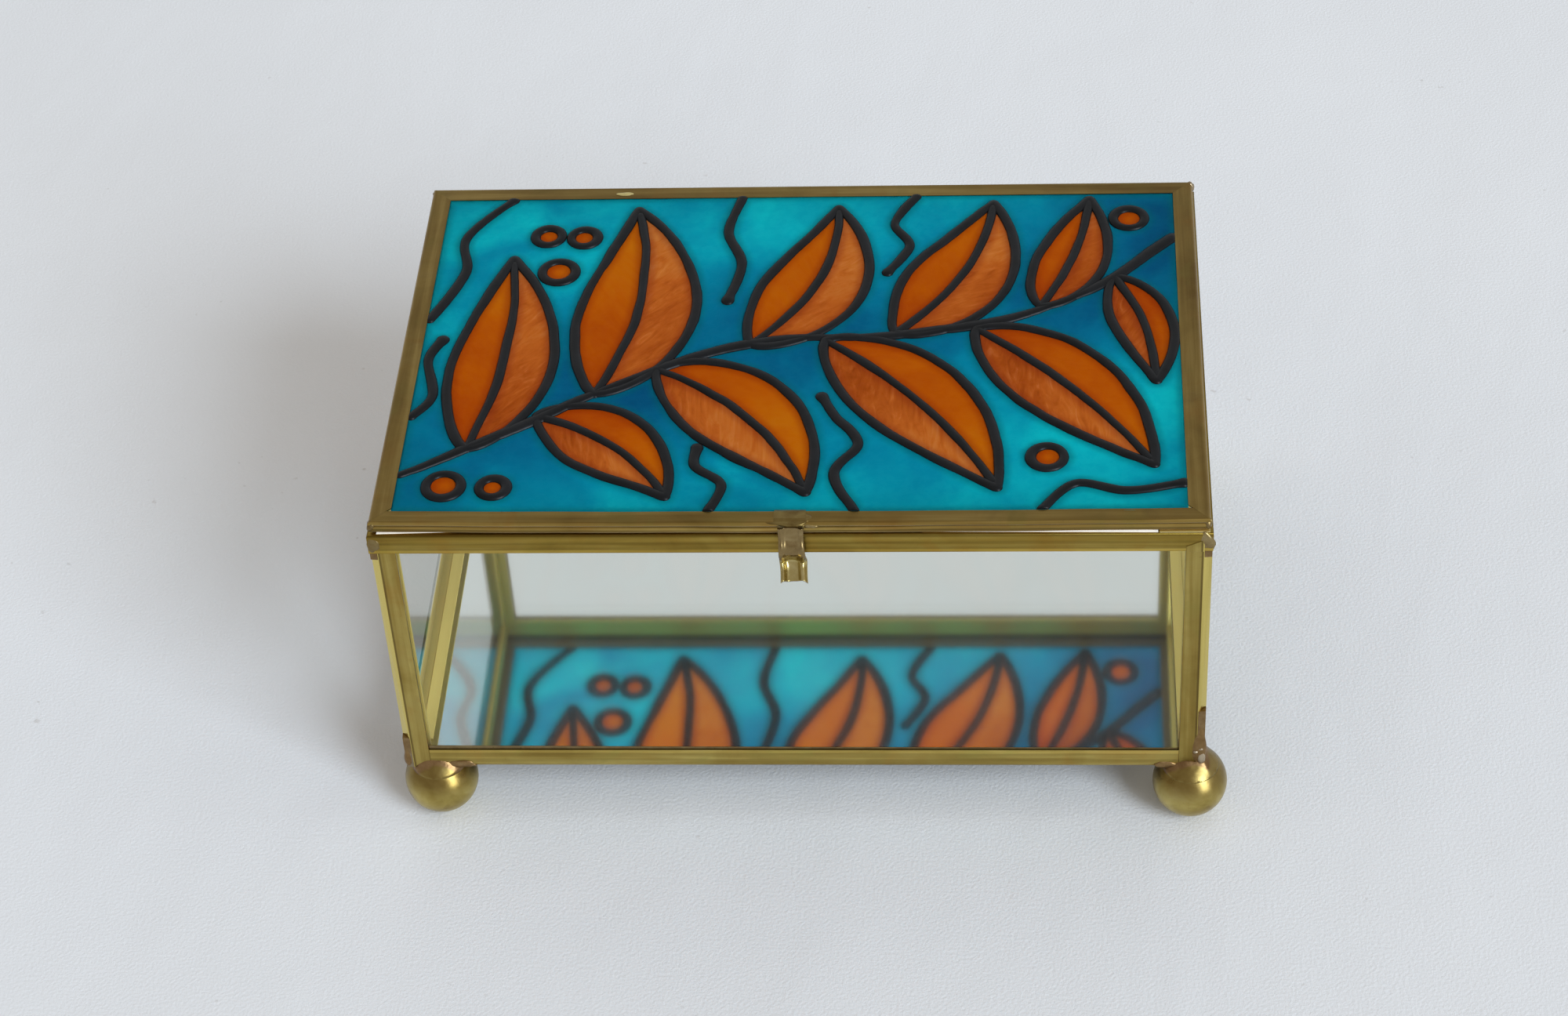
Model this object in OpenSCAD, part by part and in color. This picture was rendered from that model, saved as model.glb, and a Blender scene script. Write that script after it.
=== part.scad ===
// Glass casket box: five glass panes held in folded brass cames, a mirror
// floor, a hinged lid with glass-paint decoration, a spring clasp and four
// ball feet. Millimetres. Origin on the table under the middle of the frame,
// +X to the right, +Y to the hinge side, +Z up.

/* [Body] */
// Outer width of the brass frame
body_w = 150; // [110:1:200]
// Outer depth of the brass frame
body_d = 98.4; // [80:0.1:140]
// Height of the brass frame, without feet and lid
wall_h = 59.55; // [45:0.05:90]
// Width of the face of a corner post
post_w = 4.8; // [4.4:0.1:6]
// Face height of the top rim came at the front
rim_h = 4.2; // [3.5:0.05:6]
// Face height of the bottom came
base_h = 4.7; // [4.4:0.05:7]
// Wall thickness of the folded brass came
came_t = 0.5; // [0.4:0.05:0.6]
// Thickness of the wall panes
glass_t = 2; // [1.8:0.05:2.2]
// Bevel on the outer corner of a post
post_bevel = 1.5; // [0.8:0.1:1.6]

/* [Feet] */
// Diameter of a ball foot
ball_d = 13.9; // [11:0.1:16]
// Height of the underside of the frame above the table
foot_h = 12.1; // [9.5:0.1:13]

/* [Lid] */
// Outer width of the lid
lid_w = 149; // [109:1:199]
// Outer depth of the lid
lid_d = 97.4; // [79:0.1:139]
// Thickness of the lid came
lid_t = 2.6; // [2.5:0.05:3]
// Width of the lid came seen from above, on the sides and at the rear
lid_came_w = 3.85; // [3.4:0.05:5]
// Width of the lid's front came
lid_front_w = 3.2; // [3.1:0.05:5]
// Gap between the closed lid and the rim
lid_gap = 0.25; // [0.15:0.05:0.4]
// Height of the raised black outlines above the lid glass
relief_h = 0.65; // [0.5:0.05:0.8]
// Width of the raised black outlines
relief_w = 2; // [1.4:0.1:2.4]
// Thickness of the glass paint
paint_t = 0.12; // [0.1:0.01:0.2]

/* [Hinge] */
// Outer diameter of the hinge tubes
tube_d = 1.8; // [1.6:0.1:2]
// Diameter of the hinge wire
wire_d = 0.9; // [0.8:0.05:1]
// Gap between neighbouring tubes
tube_gap = 0.3; // [0.2:0.05:0.5]
// Left end of the long lid tube, from the middle
lid_tube_x0 = -65; // [-66:0.5:-60]
// Right end of the long lid tube, from the middle
lid_tube_x1 = 58.5; // [55:0.5:62]

/* [Clasp] */
// Width of the clasp strip
clasp_w = 4.6; // [3.5:0.1:6]
// Sideways place of the clasp, from the middle
clasp_x = 0.85; // [-2:0.05:2]
// Thickness of the clasp strip
clasp_t = 0.45; // [0.35:0.05:0.5]

/* [Hidden] */
$fn = 48;

z0 = foot_h;                    // underside of the frame
z_rim = z0 + wall_h;            // top of the rim
zl = z_rim + lid_gap;           // underside of the lid
z_top = zl + lid_t;             // top of the lid came
flange = (lid_t - glass_t) / 2; // brass above and below the lid glass
rim_side_h = rim_h - 1.3;       // outer lip of the rim at the sides and rear
lid_r = 0.8;                    // rounding of the lid's outer edges
z_gl = z_top - flange;          // painted face of the lid glass
depth = glass_t + 2 * came_t;   // depth of a came over a pane
open_x = lid_w / 2 - lid_came_w;
open_y = lid_d / 2 - lid_came_w;
open_yf = lid_d / 2 - lid_front_w;
e = 0.05;                       // play of a pane in its slot
hinge_y = body_d / 2 + tube_d / 2 + 0.2;
hinge_z = z_rim - 0.4;
clasp_y = -lid_d / 2 - 0.3;     // root of the clasp strip
clasp_z = zl + 1.8;

// Feet stand a little off their corners, as hand soldering leaves them
feet = [[-69.2, -46.3], [72.5, -47.1], [-71.4, 46.6], [71.0, 46.8]];
ball_z = ball_d / 2 - 0.15;     // centre; the ball ends in a small worn flat

// ------------------------------------------------------------- helpers

// Length along X from x0 to x1 of a profile drawn in (Y, Z)
module along_x(x0, x1) {
    translate([x0, 0, 0]) rotate([90, 0, 90]) linear_extrude(height = x1 - x0) children();
}

// Straight came along X, mitred at 45 degrees at both ends. The profile is
// drawn in (u, z), with u measured inwards from the outer face at y = 0.
module mitred(len, w) {
    intersection() {
        along_x(-len / 2, len / 2) children();
        translate([0, 0, -1]) linear_extrude(height = 200)
            polygon([[-len / 2, 0], [len / 2, 0], [len / 2 - w, w], [-len / 2 + w, w]]);
    }
}

// Puts a came drawn for the front on one of the four sides
module on_side(side, w, d) {
    if (side == "front") translate([0, -d / 2, 0]) children();
    if (side == "rear") rotate([0, 0, 180]) translate([0, -d / 2, 0]) children();
    if (side == "left") rotate([0, 0, -90]) translate([0, -w / 2, 0]) children();
    if (side == "right") rotate([0, 0, 90]) translate([0, -w / 2, 0]) children();
}

function side_len(side, w, d) = (side == "front" || side == "rear") ? w : d;

// Points of a smooth line through hand-chosen points
function cr(p0, p1, p2, p3, t) = 0.5 * (2 * p1 + (p2 - p0) * t
    + (2 * p0 - 5 * p1 + 4 * p2 - p3) * t * t
    + (3 * p1 - p0 - 3 * p2 + p3) * t * t * t);
function smooth(p, n) = [for (i = [0 : len(p) - 2]) for (k = [0 : n - 1])
    cr(p[max(i - 1, 0)], p[i], p[i + 1], p[min(i + 2, len(p) - 1)], k / n), p[len(p) - 1]];
function unit(v) = v / norm(v);
function tangent(p, i) = unit(p[min(i + 1, len(p) - 1)] - p[max(i - 1, 0)]);
function side(p, d) = [for (i = [0 : len(p) - 1])
    p[i] + d * [-tangent(p, i)[1], tangent(p, i)[0]]];
function back(p) = [for (i = [len(p) - 1 : -1 : 0]) p[i]];

// ------------------------------------------------------------- body

// U-shaped came over the top edge of a wall pane, with a rounded outer edge
module rim_profile() {
    r = 0.4;
    difference() {
        union() {
            translate([0, z_rim - rim_h]) square([depth, rim_h - r]);
            translate([r, z_rim - r - 0.1]) square([depth - r, r + 0.1]);
            translate([r, z_rim - r]) circle(r = r);
        }
        translate([came_t, z_rim - rim_h - 1]) square([glass_t, rim_h + 1 - 0.6]);
    }
}

// At the sides and the rear the outer lip is narrower between the posts
module rim_came(side) {
    l = side_len(side, body_w, body_d);
    color([0.55, 0.47, 0.24]) on_side(side, body_w, body_d) difference() {
        mitred(l, depth) rim_profile();
        if (side != "front")
            translate([post_w - l / 2, -1, z_rim - rim_h - 1])
                cube([l - 2 * post_w, 1 + came_t + 0.01, 1 + rim_h - rim_side_h]);
    }
}

// Came under a wall pane, with a ledge that carries the mirror floor; the
// side cames also have a lip over the mirror's edge
module base_profile(lip) {
    r = 1.2;
    difference() {
        union() {
            translate([0, z0 + r]) square([came_t, base_h - r]);
            translate([r, z0]) square([depth - r, came_t]);
            translate([r, z0 + r]) circle(r = r);
            translate([depth - came_t, z0]) square([came_t, lip ? 2.85 : 1.7]);
            if (lip) translate([depth - 0.1, z0 + 2.4]) square([1.9, 0.45]);
            translate([depth - 0.1, z0]) square([2.1, 0.3]);
        }
        translate([came_t, z0 + came_t]) square([glass_t, base_h]);
    }
}

module bottom_came(side) {
    l = side_len(side, body_w, body_d) - 2 * post_w;
    color([0.58, 0.5, 0.26]) on_side(side, body_w, body_d)
        along_x(-l / 2, l / 2) base_profile(side == "left" || side == "right");
}

// Corner came with a slot for each of its two panes
module post(sx, sy) {
    s = depth - came_t + 0.1;
    color([0.6, 0.52, 0.27]) translate([sx * body_w / 2, sy * body_d / 2, z0])
        linear_extrude(height = wall_h - rim_h) mirror([sx > 0 ? 1 : 0, 0]) mirror([0, sy > 0 ? 1 : 0])
            difference() {
                union() {
                    square([post_w, depth]);
                    square([depth, post_w]);
                }
                translate([s, came_t]) square([post_w, glass_t]);
                translate([came_t, s]) square([glass_t, post_w]);
                polygon([[-1, -1], [post_bevel + 1, -1], [post_bevel, 0], [0, post_bevel], [-1, post_bevel + 1]]);
            }
}

module pane_x(sy) {
    l = body_w - 2 * (depth - came_t + 0.1 + e);
    color([0.8, 0.9, 0.86, 0.3]) translate([-l / 2, sy * (body_d / 2 - came_t - glass_t / 2) - glass_t / 2, z0 + came_t])
        cube([l, glass_t, wall_h - 0.6 - came_t - e]);
}

module pane_y(sx) {
    l = body_d - 2 * (depth - came_t + 0.1 + e);
    color([0.8, 0.9, 0.86, 0.3]) translate([sx * (body_w / 2 - came_t - glass_t / 2) - glass_t / 2, -l / 2, z0 + came_t])
        cube([glass_t, l, wall_h - 0.6 - came_t - e]);
}

module floor_mirror() {
    w = body_w - 2 * (depth + e);
    d = body_d - 2 * (depth + e);
    color([0.75, 0.8, 0.8]) translate([-w / 2, -d / 2, z0 + 0.47]) cube([w, d, 1.83]);
}

module mirror_backing() {
    w = body_w - 2 * (depth + e);
    d = body_d - 2 * (depth + e);
    color([0.45, 0.46, 0.48]) translate([-w / 2, -d / 2, z0 + 0.3]) cube([w, d, 0.15]);
}

module ball_foot(i) {
    color([0.62, 0.53, 0.25]) translate([feet[i][0], feet[i][1], 0]) intersection() {
        translate([0, 0, ball_z]) sphere(d = ball_d, $fn = 96);
        cylinder(r = ball_d, h = z0 - 0.2);
    }
}

module foot_solder() {
    color([0.5, 0.42, 0.33]) for (f = feet)
        translate([f[0], f[1], z0 - 0.2]) cylinder(r = 3.9, h = 0.2);
}

// Solder that fills the bevel of each post at its two ends
module corner_solder() {
    low = [7.8, 14.9, 9, 7];
    at = [[-1, -1], [1, -1], [-1, 1], [1, 1]];
    color([0.48, 0.43, 0.36]) for (i = [0 : 3]) for (k = [0, 1])
        translate([at[i][0] * body_w / 2, at[i][1] * body_d / 2, k == 0 ? z0 : z_rim - rim_h - 1.6])
            linear_extrude(height = k == 0 ? low[i] : 1.6)
                mirror([at[i][0] > 0 ? 1 : 0, 0]) mirror([0, at[i][1] > 0 ? 1 : 0])
                    polygon([[0.12, 0.12], [post_bevel, 0], [0, post_bevel]]);
}

// ------------------------------------------------------------- hinge

module tube(x0, x1) {
    translate([x0, hinge_y, hinge_z]) rotate([0, 90, 0]) difference() {
        cylinder(d = tube_d, h = x1 - x0);
        translate([0, 0, -1]) cylinder(d = wire_d + 0.1, h = x1 - x0 + 2);
    }
}

module hinge_knuckle_left() { color([0.45, 0.4, 0.27]) tube(-72.6, lid_tube_x0 - tube_gap); }
module hinge_knuckle_right() { color([0.45, 0.4, 0.27]) tube(lid_tube_x1 + tube_gap, 74.1); }
module lid_hinge_tube() { color([0.45, 0.4, 0.27]) tube(lid_tube_x0, lid_tube_x1); }

module hinge_wire() {
    color([0.35, 0.33, 0.28]) translate([-73.2, hinge_y, hinge_z]) rotate([0, 90, 0])
        cylinder(d = wire_d, h = 148.1);
}

// Solder between the rear rim and the two short tubes
module knuckle_solder() {
    y = body_d / 2;
    color([0.5, 0.45, 0.38]) for (x = [[-72, -66], [60, 73]])
        along_x(x[0], x[1]) difference() {
            polygon([[y, hinge_z - 1.3], [y, hinge_z + 0.15], [hinge_y, hinge_z], [hinge_y, hinge_z - 1]]);
            translate([hinge_y, hinge_z]) circle(d = tube_d);
        }
}

// Solder between the lid's rear came and the long tube
module lid_hinge_solder() {
    y = lid_d / 2;
    color([0.5, 0.45, 0.38]) along_x(lid_tube_x0 + 0.5, lid_tube_x1 - 0.5) difference() {
        polygon([[y - 1.2, zl], [hinge_y + 0.1, zl], [hinge_y + 0.3, hinge_z + 1.1], [y + 0.15, zl + 1.8], [y - 0.6, zl + 2.3]]);
        translate([y, 0]) mirror([1, 0]) lid_edge();
        translate([hinge_y, hinge_z]) circle(d = tube_d);
    }
}

// ------------------------------------------------------------- lid

// Outer part of the lid came, u inwards from its face
module lid_edge() {
    hull() {
        translate([lid_r, zl + lid_r]) circle(r = lid_r);
        translate([lid_r, z_top - lid_r]) circle(r = lid_r);
        translate([lid_t - 1, zl]) square([1, lid_t]);
    }
}

// U-shaped came with rounded outer edges and a narrow lower lip
module lid_profile(w) {
    difference() {
        union() {
            lid_edge();
            translate([lid_t - 0.1, zl]) square([w - lid_t + 0.1, lid_t]);
        }
        translate([1.8 - e, zl + flange]) square([w, glass_t]);
        translate([2.35, zl - 1]) square([w, 2]);
    }
}

module lid_came(side) {
    w = side == "front" ? lid_front_w : lid_came_w;
    color([0.5, 0.4, 0.2]) on_side(side, lid_w, lid_d)
        mitred(side_len(side, lid_w, lid_d), w) lid_profile(w);
}

module lid_glass() {
    w = lid_w - 3.6;
    d = lid_d - 3.6;
    color([0.8, 0.9, 0.86, 0.3]) translate([-w / 2, -d / 2, zl + flange]) cube([w, d, glass_t]);
}

// The decoration is a leafy branch of a common kind. Each leaf has a base, a
// tip, a bend and half its width; the branch and the ripples of the ground
// are smooth lines through a few points.
leaves = [
    [-59, -29, -56, 26, -0.1, 9.5],
    [-37, -14, -33, 41, -0.16, 11],
    [-9, 0, 6, 41, -0.22, 9.5],
    [18, 3, 36, 42, -0.18, 9.5],
    [45, 10.5, 54.5, 43, -0.1, 6.5],
    [-47, -20, -22, -42, 0.2, 8],
    [-26, -7, 3, -41, 0.2, 10],
    [5, 1, 37, -40, 0.12, 10],
    [33, 4, 65, -34, 0.1, 9.5],
    [59, 19, 66, -11, 0.12, 5.5]
];
branch = [[-70.2, -36], [-56, -27], [-40, -16], [-24, -6], [-6, 1], [14, 2], [36, 6], [54, 15], [70.2, 31]];
ripples = [
    [[-70.2, 8], [-65, 22], [-66, 33], [-58, 44.8]],
    [[-70.2, -20], [-67, -14], [-69, -4], [-67, 2]],
    [[-13, 44.8], [-15, 34], [-12, 24], [-14, 13]],
    [[21, 44.8], [17, 36], [20, 29], [16, 21]],
    [[-14, -45.3], [-12, -39], [-17, -34], [-17, -29]],
    [[12, -45.3], [8, -36], [12, -28], [8, -21], [5, -15]],
    [[45, -45.3], [51, -39], [60, -41], [70.4, -39]]
];
berries = [[-47, 22, 3.2], [-43, 32.5, 2.6], [-50, 33, 2.6], [46, -32, 3], [-62, -39, 3.2], [-53, -39.5, 2.5],
    [62, 37, 3]];

leaf_n = 14;
function mid(l, t) = let(a = [l[0], l[1]], b = [l[2], l[3]], c = (a + b) / 2 + l[4] * [-(b - a)[1], (b - a)[0]])
    (1 - t) * (1 - t) * a + 2 * t * (1 - t) * c + t * t * b;
function wide(l, t) = l[5] * pow(sin(180 * pow(t, 0.8)), 0.85);
function across(l, t) = let(d = unit(mid(l, min(t + 0.01, 1)) - mid(l, max(t - 0.01, 0)))) [-d[1], d[0]];
function edge(l, s) = [for (i = [0 : leaf_n]) let(t = i / leaf_n) mid(l, t) + s * wide(l, t) * across(l, t)];
function rib(l, t1) = [for (i = [0 : 8]) mid(l, t1 * i / 8)];

module inside() {
    intersection() {
        translate([-open_x + 0.05, -open_yf + 0.05]) square([2 * open_x - 0.1, open_y + open_yf - 0.1]);
        children();
    }
}
module leaf(l) { polygon(concat(edge(l, 1), back(edge(l, -1)))); }
module half_leaf(l, s) { polygon(concat(edge(l, s), back(rib(l, 1)))); }
module line(p, w) {
    polygon(concat(side(p, w / 2), back(side(p, -w / 2))));
    translate(p[0]) circle(r = w * 0.62, $fn = 12);
    translate(p[len(p) - 1]) circle(r = w * 0.66, $fn = 12);
}

module all_lines() {
    for (l = leaves) {
        difference() {
            offset(r = relief_w / 2, $fn = 12) leaf(l);
            offset(delta = -relief_w / 2) leaf(l);
        }
        line(rib(l, 0.97), relief_w * 0.9);
    }
    line(smooth(branch, 4), relief_w * 1.15);
    for (r = ripples) line(smooth(r, 4), relief_w);
    for (b = berries) translate([b[0], b[1]]) difference() {
        circle(r = b[2] + relief_w / 2, $fn = 12);
        circle(r = b[2] - relief_w / 2, $fn = 12);
    }
}

module leaf_fill(s) { for (l = leaves) half_leaf(l, s); }
module berry_fill() { for (b = berries) translate([b[0], b[1]]) circle(r = b[2], $fn = 12); }

module lid_outline() {
    color([0.13, 0.14, 0.15]) translate([0, 0, z_gl]) linear_extrude(height = relief_h) inside() all_lines();
}

module lid_paint_amber() {
    color([0.85, 0.42, 0.05]) translate([0, 0, z_gl]) linear_extrude(height = paint_t) inside() difference() {
        union() { leaf_fill(1); berry_fill(); }
        all_lines();
    }
}

module lid_paint_copper() {
    color([0.75, 0.36, 0.2]) translate([0, 0, z_gl]) linear_extrude(height = paint_t) inside() difference() {
        leaf_fill(-1);
        leaf_fill(1);
        berry_fill();
        all_lines();
    }
}

module lid_paint_teal() {
    color([0, 0.55, 0.6]) translate([0, 0, z_gl]) linear_extrude(height = paint_t) inside() difference() {
        square([200, 200], center = true);
        leaf_fill(1);
        leaf_fill(-1);
        berry_fill();
        all_lines();
    }
}

// ------------------------------------------------------------- clasp

// Middle line of the strip in (Y, Z): it hangs from the lid's front came,
// bulges over the rim, tucks in below it and turns out again as a lip
clasp_path = smooth([
    [clasp_y, clasp_z], [clasp_y - 0.1, clasp_z - 1.1], [clasp_y - 0.75, clasp_z - 2.6],
    [clasp_y - 1.65, clasp_z - 3.9], [clasp_y - 1.75, clasp_z - 5.3], [clasp_y - 0.95, clasp_z - 6.7],
    [clasp_y - 0.65, clasp_z - 7.6], [clasp_y - 1.25, clasp_z - 8.6], [clasp_y - 2.5, clasp_z - 9.5],
    [clasp_y - 3.7, clasp_z - 10.2]], 4);

module clasp_spring() {
    color([0.62, 0.52, 0.33]) along_x(clasp_x - clasp_w / 2, clasp_x + clasp_w / 2)
        polygon(concat(side(clasp_path, clasp_t / 2), back(side(clasp_path, -clasp_t / 2))));
}

module clasp_solder() {
    y = -lid_d / 2;
    color([0.5, 0.45, 0.38]) along_x(clasp_x - 3, clasp_x + 2.6) difference() {
        polygon([[y + 2.9, z_top], [y + 2.3, z_top + 0.22], [y + 0.5, z_top + 0.25], [y - 0.25, z_top - 0.02],
            [y - 0.45, z_top - 0.35], [y - 0.35, clasp_z], [y + 0.5, clasp_z]]);
        translate([y, 0]) lid_edge();
        translate([y + lid_r, zl]) square([10, lid_t]);
        translate([clasp_y, clasp_z]) circle(d = clasp_t + 0.1);
        translate([clasp_y - 0.5 - clasp_t / 2, clasp_z - 5]) square([2, 5]);
    }
}

floor_mirror();
mirror_backing();
pane_x(-1);  // front_pane
pane_x(1);  // rear_pane
pane_y(-1);  // left_pane
pane_y(1);  // right_pane
bottom_came("front");  // bottom_came_front
bottom_came("rear");  // bottom_came_rear
bottom_came("left");  // bottom_came_left
bottom_came("right");  // bottom_came_right
rim_came("front");  // rim_came_front
rim_came("rear");  // rim_came_rear
rim_came("left");  // rim_came_left
rim_came("right");  // rim_came_right
post(-1, -1);  // post_front_left
post(1, -1);  // post_front_right
post(-1, 1);  // post_rear_left
post(1, 1);  // post_rear_right
ball_foot(0);  // ball_foot_front_left
ball_foot(1);  // ball_foot_front_right
ball_foot(2);  // ball_foot_rear_left
ball_foot(3);  // ball_foot_rear_right
foot_solder();
corner_solder();
hinge_knuckle_left();
hinge_knuckle_right();
knuckle_solder();
hinge_wire();
lid_glass();
lid_paint_teal();
lid_paint_amber();
lid_paint_copper();
lid_outline();
lid_came("front");  // lid_came_front
lid_came("rear");  // lid_came_rear
lid_came("left");  // lid_came_left
lid_came("right");  // lid_came_right
lid_hinge_tube();
lid_hinge_solder();
clasp_solder();
clasp_spring();
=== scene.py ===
import math
import bpy
import numpy as np
from mathutils import Vector, Matrix


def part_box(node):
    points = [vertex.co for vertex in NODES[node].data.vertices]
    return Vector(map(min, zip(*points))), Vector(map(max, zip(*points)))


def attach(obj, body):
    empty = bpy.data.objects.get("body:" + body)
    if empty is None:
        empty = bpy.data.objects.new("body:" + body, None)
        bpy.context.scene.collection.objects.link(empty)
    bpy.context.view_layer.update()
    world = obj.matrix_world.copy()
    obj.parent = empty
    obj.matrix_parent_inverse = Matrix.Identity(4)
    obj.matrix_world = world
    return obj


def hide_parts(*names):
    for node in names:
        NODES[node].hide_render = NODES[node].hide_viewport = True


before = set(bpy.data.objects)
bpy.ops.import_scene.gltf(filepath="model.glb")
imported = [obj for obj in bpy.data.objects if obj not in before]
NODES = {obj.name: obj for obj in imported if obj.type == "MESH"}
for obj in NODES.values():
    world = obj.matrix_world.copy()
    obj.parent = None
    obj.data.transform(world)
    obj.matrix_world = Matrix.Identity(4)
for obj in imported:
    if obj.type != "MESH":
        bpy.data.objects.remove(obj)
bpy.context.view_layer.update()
MM = 0.001

# ---------------------------------------------------------------- camera

def make_camera():
    yaw, pitch, roll = math.radians(-5.503), math.radians(42.294), math.radians(3.955)
    fwd = Vector((math.sin(yaw) * math.cos(pitch), math.cos(yaw) * math.cos(pitch), -math.sin(pitch)))
    r0 = Vector((math.cos(yaw), -math.sin(yaw), 0))
    d0 = fwd.cross(r0)
    right = math.cos(roll) * r0 + math.sin(roll) * d0
    down = -math.sin(roll) * r0 + math.cos(roll) * d0
    m = Matrix((right, -down, -fwd)).transposed().to_4x4()
    m.translation = Vector((0.04412, -0.50787, 0.49730))
    cam = bpy.data.cameras.new("Camera")
    cam.sensor_fit = "HORIZONTAL"
    cam.sensor_width = 36
    cam.lens = 81.65
    cam.clip_start = 0.01
    cam.clip_end = 50
    ob = bpy.data.objects.new("Camera", cam)
    bpy.context.scene.collection.objects.link(ob)
    ob.matrix_world = m
    bpy.context.scene.camera = ob


make_camera()

# ---------------------------------------------------------------- node helpers

class Mat:
    """A small wrapper that builds a node tree."""

    def __init__(self, name):
        self.m = bpy.data.materials.new(name)
        self.m.use_nodes = True
        self.t = self.m.node_tree
        self.t.nodes.clear()
        self.out = self.t.nodes.new("ShaderNodeOutputMaterial")

    def node(self, kind, **kw):
        n = self.t.nodes.new(kind)
        for k, v in kw.items():
            setattr(n, k, v)
        return n

    def link(self, a, b):
        self.t.links.new(a, b)

    def put(self, socket, value):
        if isinstance(value, bpy.types.NodeSocket):
            self.link(value, socket)
        else:
            if isinstance(value, (tuple, list)) and len(value) == 3 and socket.type == "RGBA":
                value = (*value, 1)
            socket.default_value = value

    def coords(self, scale=(1000, 1000, 1000), attr=None, shift=(0, 0, 0)):
        """Object coordinates in millimetres, stretched by scale / 1000."""
        if attr:
            src = self.node("ShaderNodeAttribute", attribute_name=attr).outputs["Vector"]
        else:
            src = self.node("ShaderNodeTexCoord").outputs["Object"]
        mp = self.node("ShaderNodeMapping")
        self.link(src, mp.inputs["Vector"])
        mp.inputs["Scale"].default_value = scale
        mp.inputs["Location"].default_value = shift
        return mp.outputs["Vector"]

    def noise(self, vec, scale=1.0, detail=3.0, rough=0.5, distort=0.0):
        n = self.node("ShaderNodeTexNoise")
        self.link(vec, n.inputs["Vector"])
        n.inputs["Scale"].default_value = scale
        n.inputs["Detail"].default_value = detail
        n.inputs["Roughness"].default_value = rough
        n.inputs["Distortion"].default_value = distort
        return n.outputs["Fac"]

    def ramp(self, fac, stops, mode="LINEAR"):
        n = self.node("ShaderNodeValToRGB")
        n.color_ramp.interpolation = mode
        els = n.color_ramp.elements
        while len(els) < len(stops):
            els.new(0.5)
        for el, (pos, col) in zip(els, stops):
            el.position = pos
            el.color = (*col, 1) if isinstance(col, tuple) else (col, col, col, 1)
        self.link(fac, n.inputs["Fac"])
        return n.outputs["Color"]

    def mix(self, fac, a, b, blend="MIX"):
        n = self.node("ShaderNodeMix", data_type="RGBA", blend_type=blend)
        self.put(n.inputs[0], fac)
        self.put(n.inputs[6], a)
        self.put(n.inputs[7], b)
        return n.outputs[2]

    def math(self, op, a, b=0.0, c=0.0, clamp=False):
        n = self.node("ShaderNodeMath", operation=op, use_clamp=clamp)
        self.put(n.inputs[0], a)
        self.put(n.inputs[1], b)
        if len(n.inputs) > 2:
            self.put(n.inputs[2], c)
        return n.outputs[0]

    def remap(self, v, a, b, c=0.0, d=1.0, smooth=False):
        n = self.node("ShaderNodeMapRange")
        if smooth:
            n.interpolation_type = "SMOOTHSTEP"
        self.put(n.inputs["Value"], v)
        n.inputs["From Min"].default_value = a
        n.inputs["From Max"].default_value = b
        n.inputs["To Min"].default_value = c
        n.inputs["To Max"].default_value = d
        return n.outputs["Result"]

    def bump(self, height, dist, strength=1.0, normal=None):
        n = self.node("ShaderNodeBump")
        n.inputs["Distance"].default_value = dist
        n.inputs["Strength"].default_value = strength
        self.link(height, n.inputs["Height"])
        if normal is not None:
            self.link(normal, n.inputs["Normal"])
        return n.outputs["Normal"]

    def principled(self, **kw):
        n = self.node("ShaderNodeBsdfPrincipled")
        for k, v in kw.items():
            self.put(n.inputs[k.replace("_", " ")], v)
        return n.outputs["BSDF"]

    def shade(self, fac, a, b):
        n = self.node("ShaderNodeMixShader")
        self.put(n.inputs[0], fac)
        self.link(a, n.inputs[1])
        self.link(b, n.inputs[2])
        return n.outputs[0]

    def done(self, shader):
        self.link(shader, self.out.inputs["Surface"])
        return self.m


# ---------------------------------------------------------------- materials

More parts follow.
